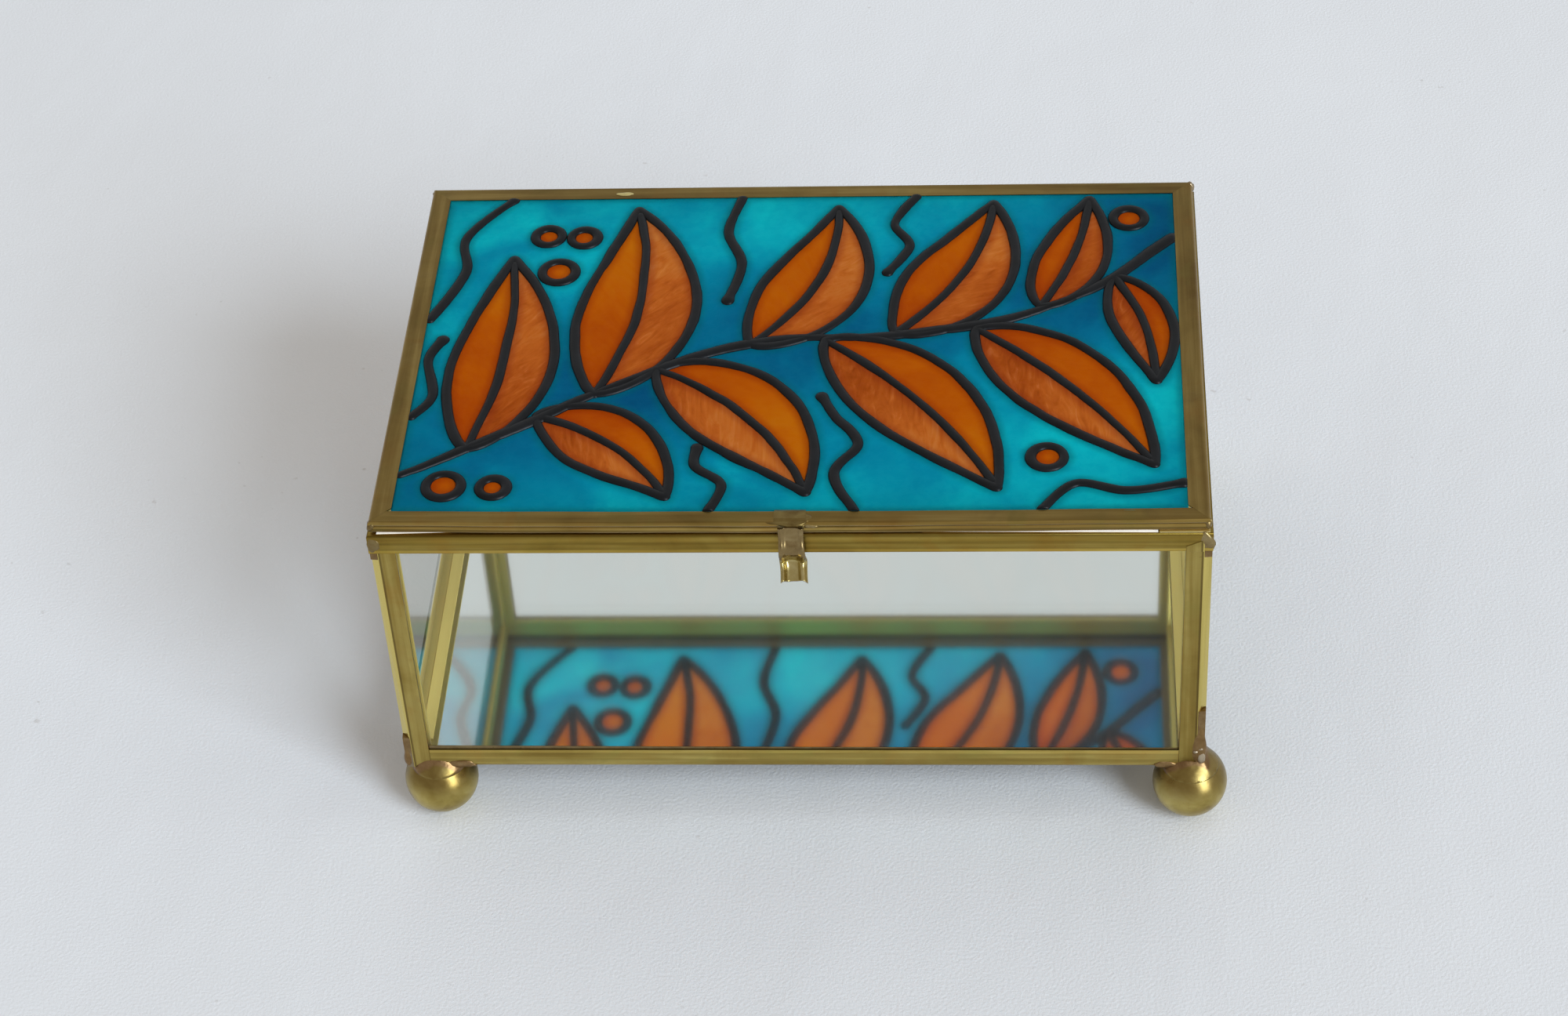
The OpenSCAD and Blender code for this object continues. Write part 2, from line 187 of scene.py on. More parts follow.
def brass(name, axis, dark, mid, light, dull=0.3, seed=0.0, rough=0.34, body=True, painted_light_stripes=None):
    """Aged folded brass: soft bands and fine drawn lines along the came, faint warm and green patches, brown tarnish."""
    m = Mat(name)

    def along(a, c):
        return {"x": (a, c, c), "y": (c, a, c), "z": (c, c, a)}[axis]

    band = m.noise(m.coords(along(22, 520), shift=(seed, seed, seed)), 1.0, 3, 0.55, 0.25)
    line = m.noise(m.coords(along(45, 4200), shift=(0, seed, seed)), 1.0, 2, 0.6)
    wide = m.noise(m.coords((60, 60, 60), shift=(seed + 3, 0, 0)), 1.0, 5, 0.6, 0.6)
    hue = m.noise(m.coords((110, 110, 110), shift=(0, 0, seed + 8)), 1.0, 3, 0.55, 0.4)
    fine = m.noise(m.coords((2100, 2100, 2100), shift=(0, seed, 0)), 1.0, 2, 0.5)
    v = m.math("ADD", m.math("MULTIPLY", band, 0.6), m.math("MULTIPLY", wide, 0.4))
    col = m.ramp(v, [(0.34, dark), (0.5, mid), (0.66, light)])
    col = m.mix(m.remap(hue, 0.52, 0.74, 0.0, 0.4, smooth=True), col, (mid[0] * 1.05, mid[1] * 0.78, mid[2] * 0.6))
    col = m.mix(m.remap(hue, 0.46, 0.28, 0.0, 0.4, smooth=True), col, (mid[0] * 0.82, mid[1] * 0.98, mid[2] * 0.9))
    tarnish = m.remap(wide, 0.52, 0.78, 0.0, dull, smooth=True)
    col = m.mix(tarnish, col, (dark[0] * 0.5, dark[1] * 0.42, dark[2] * 0.5))
    col = m.mix(m.remap(line, 0.35, 0.65, 0.14, 0.0), col, dark)
    col = m.mix(m.remap(fine, 0.7, 0.8, 0.0, 0.35, smooth=True), col, (0.1, 0.07, 0.03))
    r = m.math("ADD", m.math("MULTIPLY", line, 0.1), m.math("MULTIPLY", tarnish, 0.22))
    r = m.math("ADD", r, rough - 0.05)
    nrm = m.bump(m.math("ADD", m.math("MULTIPLY", line, 0.5), m.math("MULTIPLY", fine, 0.35)), 0.00003, 0.5)
    nrm = m.bump(wide, 0.0006, 0.25, nrm)
    at = m.node("ShaderNodeSeparateXYZ")
    m.link(m.coords(), at.inputs[0])
    geo = m.node("ShaderNodeNewGeometry")
    nv = m.node("ShaderNodeSeparateXYZ")
    m.link(geo.outputs["True Normal"], nv.inputs[0])
    if painted_light_stripes:
        # drawn lines along the face, with painted highlights on the ridges and painted shade in the grooves
        z0, z1, stops = painted_light_stripes
        wave = m.math("ADD", at.outputs[2], m.math("MULTIPLY", m.math("SUBTRACT", band, 0.5), 0.7))
        lines = m.ramp(m.remap(wave, z0, z1), stops)
        side_face = m.remap(m.math("ABSOLUTE", nv.outputs[2]), 0.8, 0.95, 1.0, 0.0)
        col = m.mix(side_face, col, m.mix(1.0, col, lines, "MULTIPLY"))
    if not body:
        shiny = m.principled(Base_Color=col, Metallic=1.0, Roughness=r, Normal=nrm)
        # painted light: the underside is lighter and less metallic, so that it doesn't render dark
        under = m.principled(Base_Color=m.mix(0.65, col, (0.7, 0.5, 0.27)), Metallic=0.25, Roughness=0.55, Normal=nrm)
        return m.done(m.shade(m.math("LESS_THAN", nv.outputs[2], -0.6), shiny, under))
    ax, ay = m.math("ABSOLUTE", at.outputs[0]), m.math("ABSOLUTE", at.outputs[1])
    if axis == "z":
        # painted highlight: the bevelled outer edge is made bright, with a painted shade line beside it
        d = m.math("SUBTRACT", 75 + 49.2 - 1.5, m.math("ADD", ax, ay))
        strip = m.math("MULTIPLY", m.remap(d, 0.05, 0.13, 1.0, 0.0), m.remap(band, 0.3, 0.5, 0.6, 1.0))
        col = m.mix(strip, col, (0.66, 0.53, 0.15))
        painted_shade_line = m.math("MULTIPLY", m.remap(d, 0.1, 0.2, 0.0, 1.0), m.remap(d, 0.34, 0.6, 1.0, 0.0))
        col = m.mix(m.math("MULTIPLY", painted_shade_line, 0.75), col, (0.1, 0.065, 0.02))
        r = m.math("SUBTRACT", r, m.math("MULTIPLY", strip, 0.06))
    else:
        # dirt and painted shade: the upper face of the outer lip, against the glass, is darkened
        top = m.math("MULTIPLY", m.math("GREATER_THAN", nv.outputs[2], 0.7), m.math("LESS_THAN", at.outputs[2], 30.0))
        top = m.math("MULTIPLY", top, m.math("GREATER_THAN", at.outputs[2], 16.5))
        col = m.mix(m.math("MULTIPLY", top, 0.85), col, (0.035, 0.028, 0.012))
    shiny = m.principled(Base_Color=col, Metallic=1.0, Roughness=r, Normal=nrm)
    # painted light: everything inside the panes is lighter and less metallic, so that it doesn't render dark
    clean = m.mix(0.72, col, (0.82, 0.66, 0.17))
    painted_light_inner = m.shade(m.remap(nv.outputs[2], 0.4, 0.7, 0.0, 1.0),
                    m.principled(Base_Color=clean, Metallic=0.7, Roughness=0.46, Normal=nrm),
                    m.principled(Base_Color=clean, Metallic=0.25, Roughness=0.5, Normal=nrm))
    inside = m.math("MULTIPLY", m.math("LESS_THAN", ax, 72.68), m.math("LESS_THAN", ay, 46.88))
    # painted light: the inner side of the outer lip, behind the glass, is lighter and matt
    inx = m.math("MULTIPLY", m.math("GREATER_THAN", ax, 74.2), m.math("LESS_THAN", m.math("MULTIPLY", at.outputs[0], nv.outputs[0]), -30.0))
    iny = m.math("MULTIPLY", m.math("GREATER_THAN", ay, 48.4), m.math("LESS_THAN", m.math("MULTIPLY", at.outputs[1], nv.outputs[1]), -20.0))
    painted_light_matt = m.principled(Base_Color=m.mix(0.5, col, (0.62, 0.5, 0.22)), Metallic=0.1, Roughness=0.6, Normal=nrm)
    return m.done(m.shade(inside, m.shade(m.math("MAXIMUM", inx, iny), shiny, painted_light_matt), painted_light_inner))


def ball_parts(m):
    """Turned satin brass; used for the balls and for the seats above them."""
    wide = m.noise(m.coords((180, 180, 180)), 1.0, 4, 0.55, 0.4)
    fine = m.noise(m.coords((1700, 1700, 1700)), 1.0, 3, 0.6)
    turn = m.noise(m.coords((60, 60, 4200)), 1.0, 2, 0.5)
    col = m.ramp(wide, [(0.32, (0.27, 0.19, 0.042)), (0.52, (0.43, 0.33, 0.095)), (0.72, (0.6, 0.49, 0.18))])
    col = m.mix(m.remap(fine, 0.6, 0.78, 0.0, 0.35, smooth=True), col, (0.26, 0.17, 0.06))
    sep = m.node("ShaderNodeSeparateXYZ")
    m.link(m.coords(), sep.inputs[0])
    # painted shade: each ball is darker towards its top, where the dark underside of the box is reflected
    high = m.math("ADD", sep.outputs[2], m.math("MULTIPLY", wide, 3.0))
    col = m.mix(m.remap(high, 8.0, 12.0, 0.0, 0.62, smooth=True), col, (0.15, 0.09, 0.03))
    rough = m.remap(wide, 0.3, 0.7, 0.26, 0.36)
    nrm = m.bump(m.math("ADD", m.math("MULTIPLY", turn, 0.3), m.math("MULTIPLY", fine, 0.6)), 0.00004, 0.5)
    return m.principled(Base_Color=col, Metallic=1.0, Roughness=rough, Normal=nrm)


def ball_brass():
    m = Mat("foot_brass")
    return m.done(ball_parts(m))


def solder_parts(m, tint=(1.0, 1.0, 1.0), metal=0.9):
    wide = m.noise(m.coords((420, 420, 420)), 1.0, 4, 0.55, 0.5)
    fine = m.noise(m.coords((2200, 2200, 2200)), 1.0, 3, 0.6)

    def k(c):
        return tuple(a * b for a, b in zip(c, tint))

    col = m.ramp(wide, [(0.22, k((0.24, 0.165, 0.09))), (0.5, k((0.35, 0.27, 0.17))), (0.8, k((0.46, 0.385, 0.27)))])
    nrm = m.bump(m.math("ADD", wide, m.math("MULTIPLY", fine, 0.25)), 0.00015, 0.5)
    return m.principled(Base_Color=col, Metallic=metal, Roughness=m.remap(fine, 0.3, 0.7, 0.26, 0.42), Normal=nrm)


def solder(name, tint=(1.0, 1.0, 1.0), metal=0.9):
    m = Mat(name)
    return m.done(solder_parts(m, tint, metal))


def seat_metal():
    """Brass of the ball that runs into the solder under the frame."""
    m = Mat("foot_seat")
    stain = m.node("ShaderNodeAttribute", attribute_name="stain").outputs["Fac"]
    patch = m.noise(m.coords((700, 700, 700)), 1.0, 3, 0.6)
    fac = m.remap(m.math("ADD", stain, m.math("MULTIPLY", m.math("SUBTRACT", patch, 0.5), 0.5)), 0.3, 0.7, 0.0, 1.0, smooth=True)
    return m.done(m.shade(fac, ball_parts(m), solder_parts(m, (0.66, 0.5, 0.33))))


def corner_metal():
    """Solder in the bevel of a post: grey at the foot, stained copper brown higher up."""
    m = Mat("corner_solder")
    sep = m.node("ShaderNodeSeparateXYZ")
    m.link(m.coords(), sep.inputs[0])
    patch = m.noise(m.coords((500, 500, 500)), 1.0, 3, 0.6)
    up = m.remap(m.math("ADD", sep.outputs[2], m.math("MULTIPLY", patch, 3)), 16.0, 18.5, 0.0, 1.0, smooth=True)
    return m.done(m.shade(up, solder_parts(m, (0.76, 0.78, 0.78)), solder_parts(m, (0.6, 0.48, 0.31))))


def wire_metal():
    m = Mat("wire")
    fine = m.noise(m.coords((200, 2500, 2500)), 1.0, 3, 0.6)
    col = m.ramp(fine, [(0.3, (0.1, 0.08, 0.06)), (0.7, (0.32, 0.28, 0.2))])
    return m.done(m.principled(Base_Color=col, Metallic=1.0, Roughness=0.4, Normal=m.bump(fine, 0.00005, 0.4)))


def clasp_brass():
    """Bright worn strip: stained brown over the rim, clean brass on the lip."""
    m = Mat("clasp_brass")
    sep = m.node("ShaderNodeSeparateXYZ")
    m.link(m.coords(), sep.inputs[0])
    wide = m.noise(m.coords((350, 350, 350)), 1.0, 4, 0.6, 0.4)
    fine = m.noise(m.coords((3000, 3000, 600)), 1.0, 3, 0.6)
    col = m.ramp(wide, [(0.2, (0.34, 0.26, 0.09)), (0.5, (0.46, 0.37, 0.15)), (0.85, (0.6, 0.52, 0.27))])
    brown = m.ramp(wide, [(0.2, (0.15, 0.098, 0.042)), (0.5, (0.25, 0.175, 0.075)), (0.85, (0.4, 0.31, 0.155))])
    up = m.remap(m.math("ADD", sep.outputs[2], m.math("MULTIPLY", wide, 2)), 67.6, 69.4, 0.0, 1.0, smooth=True)
    col = m.mix(up, col, brown)
    nrm = m.bump(fine, 0.00002, 0.35)
    return m.done(m.principled(Base_Color=col, Metallic=1.0, Roughness=m.remap(fine, 0.3, 0.7, 0.19, 0.28), Normal=nrm))


def clear_glass(name, tint=(0.99, 0.995, 0.992), smear=0.0015):
    """Thin pane: what lies behind shows through, with a soft mirror image on top."""
    m = Mat(name)
    see = m.node("ShaderNodeBsdfTransparent")
    see.inputs["Color"].default_value = (*tint, 1)
    gloss = m.node("ShaderNodeBsdfGlossy")
    gloss.inputs["Color"].default_value = (1, 1, 1, 1)
    haze = m.noise(m.coords((40, 40, 40)), 1.0, 4, 0.6, 0.8)
    m.link(m.remap(haze, 0.4, 0.75, 0.0, 0.03), gloss.inputs["Roughness"])
    fres = m.node("ShaderNodeFresnel")
    fres.inputs["IOR"].default_value = 1.45
    # only the face turned to the eye mirrors; it counts for both faces of the pane
    geo = m.node("ShaderNodeNewGeometry")
    front = m.math("SUBTRACT", 1.0, geo.outputs["Backfacing"])
    both = m.math("MULTIPLY", m.math("POWER", fres.outputs[0], 1.3), 1.6, clamp=True)
    clear = m.shade(m.math("MULTIPLY", both, front), see.outputs[0], gloss.outputs[0])
    dust = m.node("ShaderNodeBsdfDiffuse")
    dust.inputs["Color"].default_value = (0.8, 0.8, 0.78, 1)
    grains = m.noise(m.coords((900, 900, 900)), 1.0, 3, 0.7)
    film = m.math("ADD", m.remap(haze, 0.45, 0.8, 0.0, smear), m.remap(grains, 0.76, 0.84, 0.0, 0.04))
    return m.done(m.shade(film, clear, dust.outputs[0]))


def silver():
    """Silvered face above, grey backing paint below and at the sides."""
    m = Mat("backing")
    geo = m.node("ShaderNodeNewGeometry")
    sep = m.node("ShaderNodeSeparateXYZ")
    m.link(geo.outputs["Normal"], sep.inputs[0])
    up = m.math("GREATER_THAN", sep.outputs[2], 0.5)
    shine = m.node("ShaderNodeBsdfGlossy")
    shine.inputs["Color"].default_value = (0.92, 0.935, 0.925, 1)
    shine.inputs["Roughness"].default_value = 0.055
    fine = m.noise(m.coords((700, 700, 700)), 1.0, 4, 0.6)
    paint = m.ramp(fine, [(0.3, (0.075, 0.078, 0.085)), (0.7, (0.13, 0.132, 0.14))])
    coat = m.principled(Base_Color=paint, Roughness=0.7, Normal=m.bump(fine, 0.00005, 0.5))
    return m.done(m.shade(up, coat, shine.outputs[0]))


def paint(name, colours, below, streaks=0.0, clear=0.1, edge=(0.25, 0.2, 0.1), through=0.42):
    """Glass paint: a satin skin that lets some light pass, thicker and darker where it pools at the outlines.
    colours is a ramp, below the same for light that has passed through; flow is the brush direction in mm and pool the distance to the nearest outline in mm."""
    m = Mat(name)
    pool = m.node("ShaderNodeAttribute", attribute_name="pool").outputs["Fac"]
    tone = m.node("ShaderNodeAttribute", attribute_name="tone").outputs["Fac"]
    broad = m.noise(m.coords((45, 45, 1), attr="flow"), 1.0, 3, 0.55, 0.8)
    mottle = m.noise(m.coords((450, 450, 1), attr="flow"), 1.0, 4, 0.65, 0.3)
    brush = m.noise(m.coords((120, 430, 1), attr="flow", shift=(7, 3, 0)), 1.0, 5, 0.6, 2.4)
    v = m.math("ADD", m.math("MULTIPLY", broad, 0.55), m.math("MULTIPLY", mottle, 0.12))
    v = m.math("ADD", v, m.math("MULTIPLY", tone, 0.45))
    v = m.math("ADD", v, m.math("MULTIPLY", m.math("SUBTRACT", brush, 0.5), streaks))
    col = m.ramp(v, colours)
    if streaks > 0.3:
        pearl = m.remap(brush, 0.56, 0.78, 0.0, 0.45, smooth=True)
        col = m.mix(pearl, col, (0.85, 0.4, 0.18))
        dark = m.remap(brush, 0.44, 0.26, 0.0, 0.4, smooth=True)
        col = m.mix(dark, col, (0.25, 0.035, 0.006))
    rim = m.remap(pool, 1.0, 2.8, 1.0, 0.0, smooth=True)
    col = m.mix(m.math("MULTIPLY", rim, 0.45), col, edge)
    skin = m.principled(
        Base_Color=col,
        Roughness=m.remap(mottle, 0.3, 0.7, 0.22, 0.34),
        Specular_IOR_Level=0.07,
        Normal=m.bump(m.math("ADD", m.math("MULTIPLY", mottle, 0.5), m.math("MULTIPLY", brush, 0.5 + streaks)), 0.00006, 0.5),
    )
    lit = m.mix(m.math("MULTIPLY", rim, 0.4), m.ramp(v, below), edge)
    glow = m.node("ShaderNodeBsdfTranslucent")
    m.link(lit, glow.inputs["Color"])
    see = m.node("ShaderNodeBsdfTransparent")
    m.link(lit, see.inputs["Color"])
    body = m.shade(through, skin, glow.outputs[0])
    return m.done(m.shade(clear, body, see.outputs[0]))


def outliner():
    m = Mat("outline")
    fine = m.noise(m.coords((1500, 1500, 1500)), 1.0, 3, 0.6)
    wide = m.noise(m.coords((150, 150, 150)), 1.0, 3, 0.6)
    col = m.ramp(wide, [(0.3, (0.004, 0.0045, 0.005)), (0.7, (0.009, 0.0095, 0.011))])
    return m.done(m.principled(Base_Color=col, Roughness=m.remap(fine, 0.3, 0.7, 0.3, 0.42), Specular_IOR_Level=0.16, Normal=m.bump(fine, 0.00003, 0.5)))


RIM = ((0.2, 0.125, 0.022), (0.3, 0.205, 0.04), (0.42, 0.31, 0.08))
LOW = ((0.27, 0.185, 0.042), (0.4, 0.295, 0.08), (0.56, 0.45, 0.145))
TOP = ((0.14, 0.085, 0.022), (0.225, 0.15, 0.042), (0.33, 0.235, 0.075))
def gray(*stops):
    return [(p, (v, v, v * 0.96)) for p, v in stops]


# painted highlight and shade bands for the rim, base and lid cames: height range and brightness ramp
RIM_PAINTED_LIGHT = (67.45, 71.65, gray((0.0, 0.95), (0.05, 1.5), (0.15, 1.35), (0.2, 0.8), (0.42, 1.0), (0.52, 0.78), (0.66, 1.1), (0.84, 1.0), (0.93, 0.6)))
BASE_PAINTED_LIGHT = (12.1, 16.8, gray((0.0, 0.5), (0.1, 0.75), (0.22, 1.05), (0.45, 0.85), (0.55, 1.1), (0.78, 0.95), (0.86, 1.45), (0.95, 1.3)))
LID_PAINTED_LIGHT = (71.9, 74.5, gray((0.0, 0.7), (0.14, 1.2), (0.24, 1.1), (0.32, 0.7), (0.42, 1.45), (0.52, 1.5), (0.6, 0.55), (0.68, 0.6), (0.77, 1.5), (0.86, 1.3)))
M_RX = brass("rim_brass_x", "x", *RIM, 0.4, 0, painted_light_stripes=RIM_PAINTED_LIGHT)
M_RY = brass("rim_brass_y", "y", *RIM, 0.4, 5, painted_light_stripes=RIM_PAINTED_LIGHT)
M_BX = brass("base_brass_x", "x", *LOW, 0.3, 21, painted_light_stripes=BASE_PAINTED_LIGHT)
M_BY = brass("base_brass_y", "y", *LOW, 0.3, 25, painted_light_stripes=BASE_PAINTED_LIGHT)
M_Z = brass("post_brass", "z", (0.22, 0.145, 0.03), (0.33, 0.235, 0.058), (0.5, 0.395, 0.12), 0.25, 9, 0.3)
M_LX = brass("lid_brass_x", "x", *TOP, 0.4, 13, 0.36, False, LID_PAINTED_LIGHT)
M_LY = brass("lid_brass_y", "y", *TOP, 0.4, 17, 0.36, False, LID_PAINTED_LIGHT)
M_TUBE = brass("tube_brass", "x", *RIM, 0.4, 41, 0.34, False)
M_BALL = ball_brass()
M_SOLDER = solder("solder")
M_SOLDER_DARK = solder("solder_stained", (0.56, 0.5, 0.3))
M_SOLDER_LID = solder("solder_lid", (0.54, 0.48, 0.23))
M_SOLDER_OLIVE = solder("solder_olive", (0.78, 0.74, 0.5))
M_SOLDER_PALE = solder("solder_clean", (1.15, 1.2, 1.3))
M_SEAT = seat_metal()
M_DIRT_AND_SHADE = solder("dirt_and_shade", (0.42, 0.36, 0.2), 0.3)
M_SOLDER_BROWN = solder("solder_brown", (0.66, 0.51, 0.31))
M_SEAT_PLAIN = solder("seat_solder", (0.68, 0.54, 0.35))
M_BRIGHT = brass("bright_brass", "x", (0.6, 0.5, 0.2), (0.75, 0.65, 0.3), (0.82, 0.74, 0.42), 0.05, 31, 0.3, False)
M_CORNER = corner_metal()
M_WIRE = wire_metal()
M_CLASP = clasp_brass()
M_GLASS = clear_glass("glass")
M_FLOOR_GLASS = clear_glass("mirror_glass", (0.985, 0.993, 0.989), 0.012)
M_SILVER = silver()
M_OUT = outliner()
M_TEAL = paint("paint_teal",
               [(0.2, (0.0, 0.12, 0.28)), (0.42, (0.0, 0.24, 0.38)), (0.62, (0.0, 0.36, 0.48)), (0.85, (0.006, 0.62, 0.66))],
               [(0.2, (0.0, 0.32, 0.52)), (0.42, (0.0, 0.5, 0.7)), (0.62, (0.0, 0.66, 0.83)), (0.85, (0.01, 0.93, 0.98))],
               streaks=0.05, clear=0.06, edge=(0.0, 0.3, 0.34), through=0.67)
M_AMBER = paint("paint_amber",
                [(0.2, (0.3, 0.035, 0.0)), (0.42, (0.43, 0.07, 0.0)), (0.62, (0.54, 0.115, 0.0)), (0.85, (0.64, 0.19, 0.003))],
                [(0.2, (0.78, 0.25, 0.0)), (0.42, (0.93, 0.38, 0.0)), (0.62, (0.98, 0.48, 0.0)), (0.85, (0.99, 0.58, 0.003))],
                streaks=0.18, clear=0.03, edge=(0.55, 0.09, 0.001), through=0.67)
M_COPPER = paint("paint_copper",
                 [(0.2, (0.24, 0.045, 0.006)), (0.42, (0.42, 0.09, 0.014)), (0.62, (0.6, 0.165, 0.035)), (0.85, (0.78, 0.33, 0.1))],
                 [(0.2, (0.68, 0.24, 0.01)), (0.42, (0.87, 0.38, 0.025)), (0.62, (0.95, 0.48, 0.045)), (0.85, (0.97, 0.58, 0.08))],
                 streaks=0.5, clear=0.02, edge=(0.5, 0.09, 0.015), through=0.66)


def dress(node, mat, bevel=0.0, segments=2):
    ob = NODES[node]
    ob.data.materials.clear()
    ob.data.materials.append(mat)
    if bevel:
        w = ob.modifiers.new("weld", "WELD")
        w.merge_threshold = 0.00001
        b = ob.modifiers.new("bevel", "BEVEL")
        b.width = bevel * MM
        b.segments = segments
        b.limit_method = "ANGLE"
        b.angle_limit = math.radians(35)
        b.harden_normals = False
    return ob


for n, m, b in [
    ("bottom_came_front", M_BX, 0.12), ("bottom_came_rear", M_BX, 0.12),
    ("bottom_came_left", M_BY, 0.12), ("bottom_came_right", M_BY, 0.12),
    ("rim_came_front", M_RX, 0.12), ("rim_came_rear", M_RX, 0.12),
    ("rim_came_left", M_RY, 0.12), ("rim_came_right", M_RY, 0.12),
    ("post_front_left", M_Z, 0.14), ("post_front_right", M_Z, 0.14),
    ("post_rear_left", M_Z, 0.14), ("post_rear_right", M_Z, 0.14),
    ("lid_came_front", M_LX, 0.1), ("lid_came_rear", M_LX, 0.1),
    ("lid_came_left", M_LY, 0.1), ("lid_came_right", M_LY, 0.1),
    ("ball_foot_front_left", M_BALL, 0), ("ball_foot_front_right", M_BALL, 0),
    ("ball_foot_rear_left", M_BALL, 0), ("ball_foot_rear_right", M_BALL, 0),
    ("foot_solder", M_SOLDER, 0), ("corner_solder", M_CORNER, 0.1),
    ("hinge_knuckle_left", M_TUBE, 0), ("hinge_knuckle_right", M_TUBE, 0),
    ("knuckle_solder", M_SOLDER_OLIVE, 0), ("hinge_wire", M_WIRE, 0),
    ("lid_hinge_tube", M_TUBE, 0), ("lid_hinge_solder", M_SOLDER_OLIVE, 0),
    ("clasp_solder", M_SOLDER_LID, 0.1),
    ("front_pane", M_GLASS, 0), ("rear_pane", M_GLASS, 0),
    ("left_pane", M_GLASS, 0), ("right_pane", M_GLASS, 0), ("lid_glass", M_GLASS, 0),
    ("floor_mirror", M_FLOOR_GLASS, 0), ("mirror_backing", M_SILVER, 0),
]:
    dress(n, m, b)

# ---------------------------------------------------------------- lid decoration
# The same leafy branch as the part's source, in millimetres.

OPEN_X, OPEN_Y, OPEN_YF = 149 / 2 - 3.85, 97.4 / 2 - 3.85, 97.4 / 2 - 3.2
BOW = 0.55
Z_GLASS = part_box("lid_glass")[1].z / MM
RELIEF_W, RELIEF_H = 2.0, 0.65
LEAVES = [
    (-59, -29, -56, 26, -0.1, 9.5), (-37, -14, -33, 41, -0.16, 11), (-9, 0, 6, 41, -0.22, 9.5),
    (18, 3, 36, 42, -0.18, 9.5), (45, 10.5, 54.5, 43, -0.1, 6.5), (-47, -20, -22, -42, 0.2, 8),
    (-26, -7, 3, -41, 0.2, 10), (5, 1, 37, -40, 0.12, 10), (33, 4, 65, -34, 0.1, 9.5),
    (59, 19, 66, -11, 0.12, 5.5),
]
BRANCH = [(-70.2, -36), (-56, -27), (-40, -16), (-24, -6), (-6, 1), (14, 2), (36, 6), (54, 15), (70.2, 31)]
RIPPLES = [
    [(-70.2, 8), (-65, 22), (-66, 33), (-58, 44.6)],
    [(-70.2, -20), (-67, -14), (-69, -4), (-67, 2)],
    [(-13, 44.6), (-15, 34), (-12, 24), (-14, 13)],
    [(21, 44.6), (17, 36), (20, 29), (16, 21)],
    [(-14, -46.0), (-12, -39), (-17, -34), (-17, -29)],
    [(12, -46.0), (8, -36), (12, -28), (8, -21), (5, -15)],
    [(45, -45.8), (51, -39), (60, -41), (70.2, -39)],
]
BERRIES = [(-47, 22, 3.2), (-43, 32.5, 2.6), (-50, 33, 2.6), (46, -32, 3), (-62, -39, 3.2), (-53, -39.5, 2.5), (62, 37, 3)]


def leaf_mid(l, t):
    a, b = np.array(l[:2], float), np.array(l[2:4], float)
    c = (a + b) / 2 + l[4] * np.array([-(b - a)[1], (b - a)[0]])
    t = np.asarray(t, float)[..., None]
    return (1 - t) ** 2 * a + 2 * t * (1 - t) * c + t * t * b


def leaf_wide(l, t):
    return l[5] * np.clip(np.sin(np.pi * np.asarray(t, float) ** 0.8), 0, 1) ** 0.85


def leaf_across(l, t):
    d = leaf_mid(l, np.minimum(t + 0.01, 1)) - leaf_mid(l, np.maximum(t - 0.01, 0))
    d /= np.linalg.norm(d, axis=-1, keepdims=True)
    return np.stack([-d[..., 1], d[..., 0]], -1)


def leaf_edge(l, s, n=60):
    t = np.linspace(0, 1, n + 1)
    return leaf_mid(l, t) + s * leaf_wide(l, t)[:, None] * leaf_across(l, t)


def catmull(p, n):
    p = [np.array(q, float) for q in p]
    out = []
    for i in range(len(p) - 1):
        p0, p1, p2, p3 = p[max(i - 1, 0)], p[i], p[i + 1], p[min(i + 2, len(p) - 1)]
        for k in range(n):
            t = k / n
            out.append(0.5 * (2 * p1 + (p2 - p0) * t + (2 * p0 - 5 * p1 + 4 * p2 - p3) * t * t + (3 * p1 - p0 - 3 * p2 + p3) * t ** 3))
    out.append(p[-1])
    return np.array(out)


def resample(p, step):
    seg = np.linalg.norm(np.diff(p, axis=0), axis=1)
    s = np.concatenate([[0], np.cumsum(seg)])
    n = max(int(round(s[-1] / step)), 2)
    q = np.linspace(0, s[-1], n + 1)
    return np.stack([np.interp(q, s, p[:, i]) for i in range(p.shape[1])], 1), q


def wave(q, seed, length, k=4):
    """Smooth seeded wobble along a line, about -1 to 1."""
    rng = np.random.default_rng(seed)
    v = np.zeros_like(q)
    for i in range(k):
        v += rng.normal() * np.sin(q * 2 * np.pi * (i + 1) * 0.6 / length + rng.uniform(0, 6.28)) / (i + 1)
    return v / 1.6


def add_mesh(name, verts, faces, mat, smooth=True):
    me = bpy.data.meshes.new(name)
    me.from_pydata([tuple(v) for v in verts], [], [tuple(int(i) for i in f) for f in faces])
    me.materials.append(mat)
    me.polygons.foreach_set("use_smooth", [smooth] * len(me.polygons))
    me.update()
    ob = bpy.data.objects.new(name, me)
    bpy.context.scene.collection.objects.link(ob)
    return ob


# strokes: (points, half width factor, closed, start blob, end blob)
STROKES = []
for l in LEAVES:
    STROKES.append((leaf_edge(l, 1), 1.0, False, 1.05, 1.05))
    STROKES.append((leaf_edge(l, -1), 1.0, False, 1.0, 1.15))
    STROKES.append((leaf_mid(l, np.linspace(0, 0.97, 40)), 0.9, False, 1.0, 1.0))
STROKES.append((catmull(BRANCH, 16), 1.15, False, 1.0, 1.0))
for r in RIPPLES:
    STROKES.append((catmull(r, 16), 1.0, False, 1.0, 1.28))
for b in BERRIES:
    a = np.linspace(0, 2 * np.pi, 49)[:-1]
    STROKES.append((np.stack([b[0] + b[2] * np.cos(a), b[1] + b[2] * np.sin(a)], 1), 1.0, True, 1, 1))


